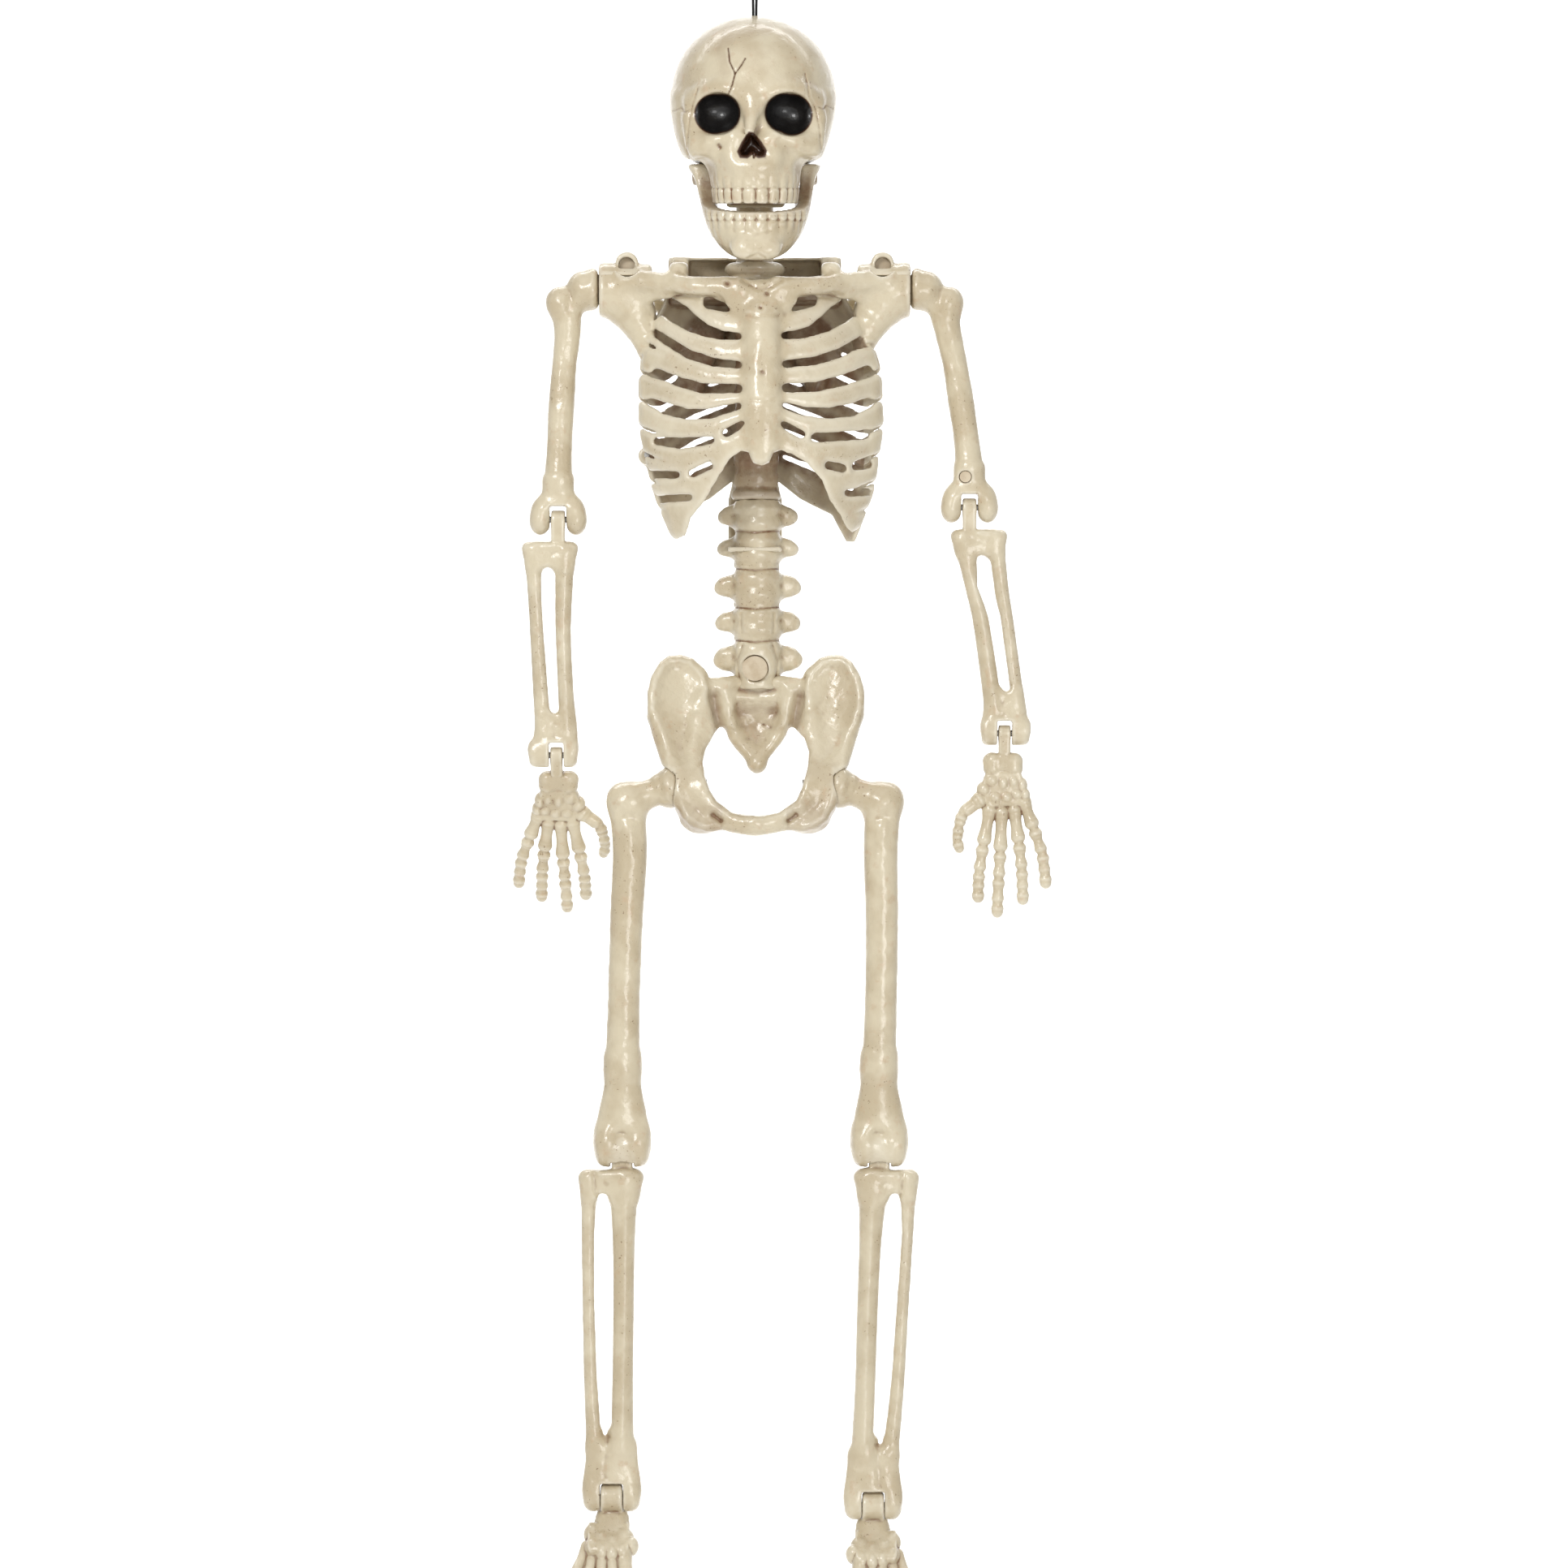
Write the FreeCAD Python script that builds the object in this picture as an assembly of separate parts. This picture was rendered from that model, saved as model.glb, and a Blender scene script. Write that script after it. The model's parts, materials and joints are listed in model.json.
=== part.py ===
import FreeCAD, Part
import math
import os

os.makedirs("parts", exist_ok=True)

# Hanging posable skeleton figure, millimetres. Origin at the top inside of the hanging loop,
# +Z up, the figure faces -Y, its own right side is at -X.
V = FreeCAD.Vector

# ---- driving dimensions ----
CROWN_Z = -70.0                 # top of the skull
SEAM_Y = 2.0                    # plane where the front and rear shells of the ribcage meet
WALL = 2.6                      # moulded wall
RUN = 0.06                      # radial running fit of every journal and pin
CORD_D = 1.6
LOOP_R = 5.8                    # bend of the cord at the top of the hanging loop
CORD_HOLE_R = 3.6

SKULL_R = 46.5                   # round form of the cranium, run between these two depths
SKULL_FRONT_Y, SKULL_BACK_Y = -7.5, 15.5
SKULL_SEAM_Y = 14.0
EYE_X, EYE_Z, EYE_R = 20.3, -125.2, 11.5
NOSE_Z, NOSE_R = -142.5, 7.5
TEETH_Z = -174.4                # edge of the upper teeth
JAW_TOP_Z = -177.6              # edge of the lower teeth
CHIN_Z = -208.0
JAW_PIN_Y, JAW_PIN_Z = 8.0, -158.5

NECK_Y = 4.0
NECK_DISC_R, NECK_RING_R, NECK_POST_R, NECK_JOURNAL_R = 16.6, 12.0, 11.0, 9.0

RIB_TOP_Z = -226.0
RIBS = [  # height, half width, half depth, centre depth of the rib barrel
    (-226.0, 44.0, 28.0, 4.0),
    (-244.0, 60.0, 38.0, 4.0),
    (-276.0, 69.5, 44.0, 3.0),
    (-306.0, 69.5, 46.0, 2.0),
    (-336.0, 64.0, 44.0, 2.0),
    (-365.0, 53.0, 38.0, 2.0),
]
SHOULDER_Z, SHOULDER_FACE_X, SHOULDER_R = -223.5, 88.0, 14.3
STUB_R, STUB_FLANGE_R = 8.0, 11.4

WAIST_Y, COLLAR_Z = 26.0, -341.4
CORE_R = 13.0                   # lumbar core
VERTEBRAE_Z = [-351.5, -369.7, -391.7, -412.0, -433.0]
SPINE_END_Z = -448.0
PLUG_Z = -438.3

HIP_Y, HIP_Z, HIP_FACE_X, HIP_R, HIP_STUB_R = 0.0, -506.1, 44.5, 12.0, 7.0
KNEE_Z, KNEE_R, KNEE_TONGUE_R, KNEE_TONGUE_W = -709.4, 11.8, 8.0, 11.8
PIN_R = 1.8

# The right arm hangs closer to the body than the left one, and the joints lie a little apart.
ARMS = {
    "right": dict(side=-1, shaft_x=-107.0, elbow=(-111.3, -354.3), plate_x=-115.9,
                  fork_x=-114.1, wrist=(-112.3, -487.7), hand_bend=-30.0),
    "left": dict(side=1, shaft_x=109.5, elbow=(121.6, -347.4), plate_x=127.0,
                 fork_x=142.0, wrist=(141.4, -475.3), hand_bend=0.0),
}
LEGS = {
    "right": dict(side=-1, shaft_x=(-72.0, -70.6, -72.5, -74.0, -74.8), knee_x=-75.0,
                  plate_x=-81.2, ankle=(-81.0, -907.7)),
    "left": dict(side=1, shaft_x=(72.5, 71.3, 72.0, 71.5, 70.3), knee_x=70.5,
                 plate_x=74.3, ankle=(67.0, -912.3)),
}
ELBOW = dict(lobe_r=8.3, slot=9.2, width=31.0, tongue_r=5.2, tongue_w=8.0)
WRIST = dict(lobe_r=6.9, slot=8.2, width=26.6, tongue_r=4.8, tongue_w=7.0)
ANKLE = dict(lobe_r=7.0, slot=12.9, width=31.0, tongue_r=5.6, tongue_w=11.7)


# ---- small shape helpers ----
def save(name, shape):
    shape = shape.removeSplitter()
    shape.exportStep("parts/" + name + ".step")
    kinds = len(shape.Solids)
    print(f"{name:18s} solids {kinds} valid {shape.isValid()} volume {shape.Volume / 1000:8.2f} cm3")


def fuse(first, *rest):
    return first.multiFuse(list(rest))


def cut(shape, *tools):
    for tool in tools:
        shape = shape.cut(tool)
    return shape


def box(x0, x1, y0, y1, z0, z1):
    return Part.makeBox(x1 - x0, y1 - y0, z1 - z0, V(x0, y0, z0))


def rod_x(x0, x1, y, z, r):
    return Part.makeCylinder(r, x1 - x0, V(x0, y, z), V(1, 0, 0))


def rod_y(x, y0, y1, z, r):
    return Part.makeCylinder(r, y1 - y0, V(x, y0, z), V(0, 1, 0))


def rod_z(x, y, z0, z1, r):
    return Part.makeCylinder(r, z1 - z0, V(x, y, z0), V(0, 0, 1))


def cone_between(start, end, r0, r1):
    start, end = V(*start), V(*end)
    return Part.makeCone(r0, r1, (end - start).Length, start, end - start)


def ball(x, y, z, r):
    return Part.makeSphere(r, V(x, y, z))


def oval(z, hx, hy, x=0.0, y=0.0):
    """A closed oval outline in a level plane."""
    grow = FreeCAD.Matrix()
    grow.scale(hx, hy, 1.0)
    grow.move(V(x, y, z))
    return Part.Wire(Part.makeCircle(1.0).toNurbs().Edges[0].transformGeometry(grow))


def loft(sections, ruled=True):
    """A solid through ovals given as (z, half x, half y, centre x, centre y)."""
    return Part.makeLoft([oval(*s) for s in sections], True, ruled)


def egg(x, y, z, hx, hy, hz):
    grow = FreeCAD.Matrix()
    grow.scale(hx, hy, hz)
    grow.move(V(x, y, z))
    return Part.makeSphere(1.0).transformGeometry(grow)


def plate(points, y0, y1):
    """An outline of (x, z) points seen from the front, filled from depth y0 to y1."""
    corners = [V(x, y0, z) for x, z in points]
    face = Part.Face(Part.makePolygon(corners + corners[:1]))
    return face.extrude(V(0, y1 - y0, 0))


def profile(points, x0, x1):
    """An outline of (y, z) points seen from the side, filled from x0 to x1."""
    corners = [V(x0, y, z) for y, z in points]
    face = Part.Face(Part.makePolygon(corners + corners[:1]))
    return face.extrude(V(x1 - x0, 0, 0))


def both(half):
    """Mirrors an outline's (x, z) points with x > 0 to the other side and closes it."""
    return half + [(-x, z) for x, z in reversed(half) if x > 0]


def mirrored(shape):
    return shape.mirror(V(0, 0, 0), V(1, 0, 0))


def oval_prism(x, z, hx, hz, y0, y1, shrink=1.0):
    """An oval seen from the front, run from depth y0 to y1, where it is `shrink` as large."""
    wires = []
    for y, k in ((y0, 1.0), (y1, shrink)):
        grow = FreeCAD.Matrix()
        grow.scale(hx * k, hz * k, 1.0)
        grow.rotateX(math.radians(90))
        grow.move(V(x, y, z))
        wires.append(Part.Wire(Part.makeCircle(1.0).toNurbs().Edges[0].transformGeometry(grow)))
    return Part.makeLoft(wires, True, True)


def turned_x(shape, y, z, degrees):
    shape = shape.copy()
    shape.rotate(V(0, y, z), V(1, 0, 0), degrees)
    return shape


# ---- head ----
def skull_form(thick):
    """The cranium, cheeks and upper jaw as plain round forms, set in by a wall of `thick`."""
    r = SKULL_R - thick
    z = CROWN_Z - SKULL_R
    cranium = fuse(ball(0, SKULL_FRONT_Y, z, r), rod_y(0, SKULL_FRONT_Y, SKULL_BACK_Y, z, r),
                   ball(0, SKULL_BACK_Y, z, r))
    cheeks = rod_z(0, -14.0, -150.0 + thick, -114.0, 38.5 - thick)
    maxilla = cone_between((0, -27.5, TEETH_Z + thick), (0, -27.5, -140.0), 24.5 - thick, 26.5 - thick)
    return fuse(cranium, cheeks, maxilla)


def skull():
    """Both halves of the skull: a hollow shell with closed eye and nose pockets."""
    outer = skull_form(0.0)
    shell = outer.cut(skull_form(WALL))
    pockets = [cone_between((s * EYE_X, -64, EYE_Z), (s * EYE_X, -20, EYE_Z), EYE_R + 2, EYE_R * 0.8 + 2)
               for s in (-1, 1)]
    pockets.append(cone_between((0, -64, NOSE_Z), (0, -30, NOSE_Z), NOSE_R + 2, NOSE_R))
    pockets.append(rod_z(0, NECK_Y, -167.5, -150, NECK_POST_R + 3.0))
    for s in (-1, 1):
        pockets.append(rod_x(min(s * 18, s * 28.4), max(s * 18, s * 28.4), JAW_PIN_Y, JAW_PIN_Z, 5.5))
    whole = fuse(shell, *[p.common(fuse(outer, rod_z(0, NECK_Y, -167.5, -150, NECK_POST_R + 3.0),
                                        box(-28.4, 28.4, 2, 14, -165, -150))) for p in pockets])
    holes = [cone_between((s * EYE_X, -64, EYE_Z), (s * EYE_X, -22, EYE_Z), EYE_R, EYE_R * 0.8)
             for s in (-1, 1)]
    holes.append(cone_between((0, -64, NOSE_Z), (0, -32, NOSE_Z), NOSE_R, NOSE_R - 2))
    holes.append(rod_z(0, NECK_Y, -180, -140, NECK_POST_R))
    holes.append(rod_x(-40, 40, JAW_PIN_Y, JAW_PIN_Z, PIN_R))
    holes.append(rod_z(0, 0, -80, -60, CORD_HOLE_R))
    return whole.cut(fuse(*holes))


def skull_halves():
    whole = skull()
    posts = [(-30.0, -100.0), (30.0, -100.0)]
    front_posts, rear_posts, tools = [], [], []
    for x, z in posts:
        front_posts.append(rod_y(x, SKULL_SEAM_Y - 10, SKULL_SEAM_Y, z, 3.6))
        rear_posts.append(rod_y(x, SKULL_SEAM_Y, SKULL_SEAM_Y + 50, z, 3.6))
        tools.append(rod_y(x, SKULL_SEAM_Y - 8, SKULL_SEAM_Y + 6, z, 1.4))
        tools.append(rod_y(x, SKULL_SEAM_Y + 6, SKULL_SEAM_Y + 60, z, 2.9))
    outer = skull_form(0.0)
    front_half = whole.common(box(-60, 60, -70, SKULL_SEAM_Y, -220, -60))
    rear_half = whole.common(box(-60, 60, SKULL_SEAM_Y, 80, -220, -60))
    arms = [box(min(s * 30, s * 46), max(s * 30, s * 46), SKULL_SEAM_Y - 10, SKULL_SEAM_Y, -101.5, -98.5)
            .common(outer) for s in (-1, 1)]
    front = cut(fuse(front_half, *[p.common(outer) for p in front_posts], *arms), *tools)
    rear = cut(fuse(rear_half, *[p.common(outer) for p in rear_posts]), *tools)
    save("skull_front", front)
    save("skull_rear", rear)
    screws = []
    for x, z in posts:
        shank = rod_y(x, SKULL_SEAM_Y - 8, SKULL_SEAM_Y + 6, z, 1.4)
        head = rod_y(x, SKULL_SEAM_Y + 6, SKULL_SEAM_Y + 8.2, z, 2.7)
        slot = box(x - 2, x + 2, SKULL_SEAM_Y + 7.3, SKULL_SEAM_Y + 9, z - 0.4, z + 0.4)
        screws.append(fuse(shank, head).cut(slot))
    save("skull_screws", Part.makeCompound(screws))


def jaw_form(thick):
    """The filled horseshoe of the lower jaw, set in by a wall of `thick`."""
    r, chin_r = 28.5 - thick, 14.5 - thick
    top = JAW_TOP_Z + (1.0 if thick else 0.0)
    low = CHIN_Z - (1.0 if thick else 0.0)
    arch = rod_z(0, -23.5, -190.0, top, r)
    sides = box(-r, r, -23.5, 8, -190.0, top)
    lower = plate([(r, -190), (chin_r, low), (-chin_r, low), (-r, -190)], -27, 8)
    chin = cone_between((0, -23.5, -190.0), (0, -31.0, low), r, chin_r)
    return fuse(arch, sides, lower, chin)


def jaw():
    band = jaw_form(0.0).cut(jaw_form(6.5)).common(box(-40, 40, -60, 6, CHIN_Z, -170))
    band = band.cut(box(-15.5, 15.5, -17, 20, -215, -170))
    ramus = plate([(35.4, JAW_PIN_Z + 3), (35.0, JAW_PIN_Z - 3), (31.5, -174), (28.2, -190), (26.4, -197),
                   (20.5, -197), (22.4, -186), (26.0, -174), (29.0, -164), (29.0, JAW_PIN_Z + 3)], -6, 13)
    side_view = profile([(2, JAW_PIN_Z), (14, JAW_PIN_Z), (12, -178), (6, -198), (-14, -198), (-7, -176),
                         (0, -166)], 15, 40)
    knuckle = rod_x(30.0, 35.4, JAW_PIN_Y, JAW_PIN_Z, 6.0)
    half = fuse(ramus.common(side_view), knuckle)
    whole = fuse(band, half, mirrored(half))
    save("jaw", whole.cut(rod_x(-40, 40, JAW_PIN_Y, JAW_PIN_Z, PIN_R + RUN)))
    pin = rod_x(18.0, 35.0, JAW_PIN_Y, JAW_PIN_Z, PIN_R)
    save("jaw_pins", Part.makeCompound([pin, mirrored(pin)]))


def neck():
    y = NECK_Y
    disc = fuse(rod_z(0, y, -208.6, -150.0, NECK_POST_R), rod_z(0, y, -219.0, -208.6, NECK_DISC_R),
                rod_z(0, y, -225.4, -219.0, NECK_RING_R), rod_z(0, y, -238.4, -225.4, NECK_JOURNAL_R),
                rod_z(0, y, -240.4, -238.4, NECK_JOURNAL_R + 2.6))
    save("neck", disc.cut(rod_z(0, y, -241, -149, 5.0)))


def cord_path(points):
    """Straight runs joined by tangent arcs, each as large as its shorter run allows."""
    pts = [V(*p) for p in points]
    edges, start, radii = [], pts[0], []
    for before, corner, after in zip(pts, pts[1:], pts[2:]):
        u, w = (before - corner), (after - corner)
        shorter = min(u.Length, w.Length)
        u.normalize()
        w.normalize()
        turn = math.pi - u.getAngle(w)
        radius = 0.45 * shorter / math.tan(turn / 2)
        reach = radius * math.tan(turn / 2)
        p0, p1 = corner + u * reach, corner + w * reach
        middle = u + w
        middle.normalize()
        centre = corner + middle * (radius / math.cos(turn / 2))
        mid = centre - middle * radius
        edges.append(Part.LineSegment(start, p0).toShape())
        edges.append(Part.Arc(p0, mid, p1).toShape())
        start = p1
        radii.append(radius)
    edges.append(Part.LineSegment(start, pts[-1]).toShape())
    return Part.Wire(edges), radii


def hanging_cord():
    """One loop of cord: both ends go down through the crown to a knot inside the skull."""
    knot_z = CROWN_Z - 2.9
    side = [(0.85, 0, knot_z), (0.85, 0, -58.0), (1.8, 0, -40.0), (3.8, 0, -22.0), (5.3, 0, -9.0),
            (LOOP_R, 0, -1.74)]
    points = side + [(0.0, 0, 1.61)] + [(-x, y, z) for x, y, z in reversed(side)]
    wire, radii = cord_path(points)
    print("cord radii", [round(r, 1) for r in radii], "length", round(wire.Length, 1))
    start = Part.Wire(Part.makeCircle(CORD_D / 2, V(side[0][0], 0, knot_z), V(0, 0, 1)))
    tube = wire.makePipeShell([start], True, False, 2)
    print("cord volume / (section * length)",
          round(tube.Volume / (math.pi * (CORD_D / 2) ** 2 * wire.Length), 4))
    save("hanging_cord", tube)
    save("cord_knot", rod_z(0, 0, knot_z - 6.0, knot_z, 4.6))


# ---- torso ----
def rib_outer():
    return loft([(z, hx, hy, 0, y) for z, hx, hy, y in RIBS], ruled=False)


def rib_inner():
    sections = [(z, hx - WALL, hy - WALL, 0, y) for z, hx, hy, y in RIBS]
    sections[0] = (RIB_TOP_Z - 3.0, RIBS[0][1] - WALL, RIBS[0][2] - WALL, 0, RIBS[0][3])
    sections[-1] = (RIBS[-1][0] - 4.0, RIBS[-1][1] - WALL, RIBS[-1][2] - WALL, 0, RIBS[-1][3])
    return loft(sections, ruled=False)


# Gaps between the front ribs on one side: (inner x, z), (outer x, z), height at the middle.
FRONT_GAPS = [
    ((10, -249), (59, -229), 7.0),
    ((10, -266), (62, -245), 7.0),
    ((10, -282), (56, -270), 8.0),
    ((10, -292), (59, -289), 7.5),
    ((25, -310), (57, -308), 6.5),
    ((7, -308), (19, -300), 4.0),
    ((26, -326), (38, -322), 4.0),
    ((45, -326), (58, -326), 4.0),
    ((37, -340), (56, -340), 4.0),
]
REAR_GAPS = [
    ((17, -262), (58, -276), 8.0),
    ((17, -282), (60, -296), 8.0),
    ((17, -302), (58, -316), 8.0),
    ((17, -322), (50, -334), 7.0),
]


def gap_tool(a, b, height, y0, y1, side):
    """A slanted slot with rounded ends, seen from the front."""
    (xa, za), (xb, zb) = a, b
    length = math.hypot(xb - xa, zb - za)
    nx, nz = -(zb - za) / length * height / 2, (xb - xa) / length * height / 2
    points = [(side * x, z) for x, z in
              [(xa + nx, za + nz), (xb + nx * 0.7, zb + nz * 0.7), (xb - nx * 0.7, zb - nz * 0.7),
               (xa - nx, za - nz)]]
    return plate(points, y0, y1)


def shoulder(side):
    """The socket barrel of one shoulder."""
    barrel = cone_between((side * 54.0, SEAM_Y, SHOULDER_Z),
                          (side * SHOULDER_FACE_X, SEAM_Y, SHOULDER_Z), 17.0, SHOULDER_R)
    return barrel.common(box(-SHOULDER_FACE_X, SHOULDER_FACE_X, -40, 40, -260, -200))


def shoulder_bore(side):
    xs = sorted((side * 69.9, side * 95.0))
    inner = sorted((side * 62.4, side * 69.9))
    return fuse(rod_x(xs[0], xs[1], SEAM_Y, SHOULDER_Z, STUB_R + RUN),
                rod_x(inner[0], inner[1], SEAM_Y, SHOULDER_Z, STUB_FLANGE_R + 0.3))


RIB_SCREWS = [(59.5, -262.0), (61.0, -318.0)]


def ribcage():
    outer, inner = rib_outer(), rib_inner()
    shell = outer.cut(inner)
    collar = rod_z(0, NECK_Y, -236.0, -226.0, 14.5)
    barrels = [shoulder(s) for s in (-1, 1)]
    posts = []
    for x, z in RIB_SCREWS:
        for s in (-1, 1):
            posts.append(rod_y(s * x, SEAM_Y - 14, SEAM_Y + 22, z, 4.6).common(outer))
    whole = fuse(shell, collar, *barrels, *posts)
    bores = [shoulder_bore(s) for s in (-1, 1)]
    neck_hole = fuse(rod_z(0, NECK_Y, -240, -220, NECK_JOURNAL_R + RUN),
                     rod_z(0, NECK_Y, -241, -236.0, NECK_JOURNAL_R + 3.0))
    pilots = []
    for x, z in RIB_SCREWS:
        for s in (-1, 1):
            pilots.append(rod_y(s * x, SEAM_Y - 10, SEAM_Y + 9, z, 1.5))
            pilots.append(rod_y(s * x, SEAM_Y + 9, SEAM_Y + 60, z, 3.1))
    whole = cut(whole, *bores, neck_hole, *pilots)
    ribcage_front(whole)
    ribcage_rear(whole)
    screws = []
    for x, z in RIB_SCREWS:
        for s in (-1, 1):
            shank = rod_y(s * x, SEAM_Y - 10, SEAM_Y + 9, z, 1.5)
            head = rod_y(s * x, SEAM_Y + 9, SEAM_Y + 11.2, z, 2.9)
            slot = box(s * x - 2, s * x + 2, SEAM_Y + 10.3, SEAM_Y + 12, z - 0.4, z + 0.4)
            screws.append(fuse(shank, head).cut(slot))
    save("ribcage_screws", Part.makeCompound(screws))


def ribcage_front(whole):
    half = whole.common(box(-100, 100, -70, SEAM_Y, -380, -200))
    clavicles = [cone_between((s * 8, -24, -224), (s * 76, -5, -220), 6.0, 7.0) for s in (-1, 1)]
    manubrium = box(-22, 22, -31, -25, -232, -217.5)
    half = fuse(half, manubrium, *[c.cut(shoulder_bore(s)) for c, s in zip(clavicles, (-1, 1))])
    half = half.cut(rod_z(0, NECK_Y, -241, -200, NECK_JOURNAL_R + RUN))
    half = half.cut(rod_z(0, NECK_Y, -225.99, -200, NECK_RING_R + 1.0))
    costal = both([(0, -318.5), (11, -321), (24, -334), (36, -358), (40, -368), (60, -400), (0, -400)])
    tools = [plate(costal, -70, SEAM_Y)]
    for s in (-1, 1):
        tools.append(rod_y(s * 72.5, SEAM_Y - 1.2, SEAM_Y, -210.5, 4.4))
        for a, b, height in FRONT_GAPS:
            tools.append(gap_tool(a, b, height, -70, -8, s))
    save("ribcage_front", cut(half, *tools))


def ribcage_rear(whole):
    half = whole.common(box(-100, 100, SEAM_Y, 70, -380, -200))
    lower = both([(0, -336), (14, -336), (50, -354), (60, -372), (60, -400), (0, -400)])
    half = half.cut(plate(lower, SEAM_Y, 70))
    rim = box(-48, 48, 27.0, 30.5, -236, -208)
    tabs = [box(min(s * 37, s * 48), max(s * 37, s * 48), 16, 30.5, -232, -207) for s in (-1, 1)]
    bosses = []
    for s in (-1, 1):
        bosses.append(rod_y(s * 72.5, SEAM_Y, SEAM_Y + 11, -210.5, 6.4))
    column = rod_z(0, WAIST_Y, COLLAR_Z, -240, 12.5)
    web = box(-5, 5, WAIST_Y + 8, 43, -335, -240).common(rib_outer())
    collar = rod_z(0, WAIST_Y, COLLAR_Z, -336, 13.8)
    half = fuse(half, rim, *tabs, *bosses, column, web, collar)
    half = cut(half, *[shoulder_bore(s) for s in (-1, 1)])
    hollow = fuse(rod_z(0, WAIST_Y, -345, -322, 7.0 + RUN), rod_z(0, WAIST_Y, -322, -246, 9.0))
    window = box(-6, 6, 0, WAIST_Y, -318, -250)
    tools = [hollow, window]
    tools.append(rod_z(0, NECK_Y, -225.99, -200, NECK_RING_R + 1.0))
    tools.append(rod_z(0, NECK_Y, -241, -236.0, NECK_JOURNAL_R + 3.0))
    for s in (-1, 1):
        tools.append(rod_y(s * 72.5, SEAM_Y, SEAM_Y + 8, -210.5, 4.4))
    for a, b, height in REAR_GAPS:
        for s in (-1, 1):
            tools.append(gap_tool(a, b, height, 22, 70, s))
    save("ribcage_rear", cut(half, *tools))
    pegs = [rod_y(s * 72.5, SEAM_Y - 1.2, SEAM_Y + 8, -210.5, 4.4) for s in (-1, 1)]
    save("shoulder_pegs", Part.makeCompound([p.cut(shoulder_bore(s)) for p, s in zip(pegs, (-1, 1))]))


# ---- spine and pelvis ----
def lumbar_spine():
    y = WAIST_Y
    top = COLLAR_Z - 0.4
    core = rod_z(0, y, SPINE_END_Z, top, CORE_R)
    journal = rod_z(0, y, top, -322.4, 7.0)
    pieces = [journal]
    for z in VERTEBRAE_Z:
        pieces.append(rod_z(0, y, z - 6.5, z + 6.5, 14.5))
        pieces.append(egg(0, y + 2, z, 24.0, 6.0, 6.0))
        pieces.append(profile([(y + 8, z + 4), (y + 25, z - 1), (y + 25, z - 7), (y + 8, z - 6)], -2.5, 2.5))
    whole = fuse(core, *pieces)
    tools = [rod_z(0, y, SPINE_END_Z - 1, -426, 7.5), rod_z(0, y, -341, -321, 1.6),
             rod_y(0, y - 20, y - 6, PLUG_Z, 1.8), oval_prism(0, PLUG_Z, 7.2, 7.0, y - 20, y - 11.4),
             rod_y(0, y - 12, y - 9.4, PLUG_Z, 3.2)]
    save("lumbar_spine", cut(whole, *tools))
    screw = fuse(rod_z(0, y, -340, -322, 1.6), rod_z(0, y, -322.0, -320.8, 7.8),
                 rod_z(0, y, -320.8, -318.4, 3.4))
    save("waist_screw", screw.cut(box(-3, 3, y - 0.5, y + 0.5, -319.2, -318)))
    plug = oval_prism(0, PLUG_Z, 7.2, 7.0, y - 14.7, y - 11.4)
    save("pelvis_plug", plug)
    fixing = fuse(rod_y(0, y - 11.4, y + 5, PLUG_Z, 1.8), rod_y(0, y - 11.4, y - 9.4, PLUG_Z, 3.2))
    save("pelvis_screw", fixing)
    return fixing


def pelvis(fixing):
    wing = [(0, -452), (26, -448), (25.8, -443), (32.7, -434.3), (42.3, -430.2), (53.8, -433.4),
            (60.7, -445.4), (61.6, -456.4), (58.4, -470.2), (53.8, -480.8), (50.5, -489.0), (44.5, -494.0),
            (44.0, -518), (30, -530), (22, -531.8), (0, -529)]
    opening = [(0, -497), (5, -491.5), (17.5, -474.5), (27, -478), (30, -492), (26, -508), (14, -519),
               (0, -521.5)]
    band = profile([(12, -426), (4, -456), (-3, -480), (-10, -506), (-18, -533), (-4, -533), (6, -512),
                    (14, -490), (22, -470), (30, -426)], -70, 70)
    front = plate(both(wing), -40, 60).common(band)
    sacrum = plate(both([(0, -448.2), (26, -448.2), (20, -466), (9, -484), (3.5, -497), (0, -497.5)]), 8, 44)
    sacrum = sacrum.common(profile([(12, -448.2), (41, -448.2), (40, -466), (34, -484), (29, -498), (22, -498),
                                    (20, -484), (16, -466)], -30, 30))
    joints = [box(min(s * 18, s * 34), max(s * 18, s * 34), 10, 30, -470, -450) for s in (-1, 1)]
    sockets = []
    for s in (-1, 1):
        sockets.append(cone_between((s * 28, HIP_Y, HIP_Z), (s * HIP_FACE_X, HIP_Y, HIP_Z), 14.0, HIP_R))
    spigot = rod_z(0, WAIST_Y, -455, -428, 7.5)
    whole = fuse(front.cut(plate(both(opening), -60, 60)), sacrum, *joints, *sockets, spigot)
    tools = [fixing]
    for s in (-1, 1):
        stub = sorted((s * 34.0, s * 60.0))
        through = sorted((s * 20.0, s * 34.0))
        head = sorted((s * 10.0, s * 31.0))
        tools.append(rod_x(stub[0], stub[1], HIP_Y, HIP_Z, HIP_STUB_R + RUN))
        tools.append(rod_x(through[0], through[1], HIP_Y, HIP_Z, 2.2))
        tools.append(rod_x(head[0], head[1], HIP_Y, HIP_Z, 5.2))
    save("pelvis", cut(whole, *tools))


# ---- hinges with a fork above and a tongue below ----
def fork(x, z, spec, up, depth):
    """A block with two round lobes about the pin, open to the front, back and below."""
    r, half = spec["lobe_r"], spec["width"] / 2
    body = fuse(rod_x(x - half, x + half, 0, z, r), box(x - half, x + half, -depth, depth, z, z + up))
    return body


def fork_slot(x, z, spec):
    half, top = spec["slot"] / 2, spec["tongue_r"] + 2.2
    return fuse(box(x - half, x + half, -30, 30, z - 30, z), rod_x(x - half, x + half, 0, z, top),
                box(x - half, x + half, -30, 30, z, z + top))


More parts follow.
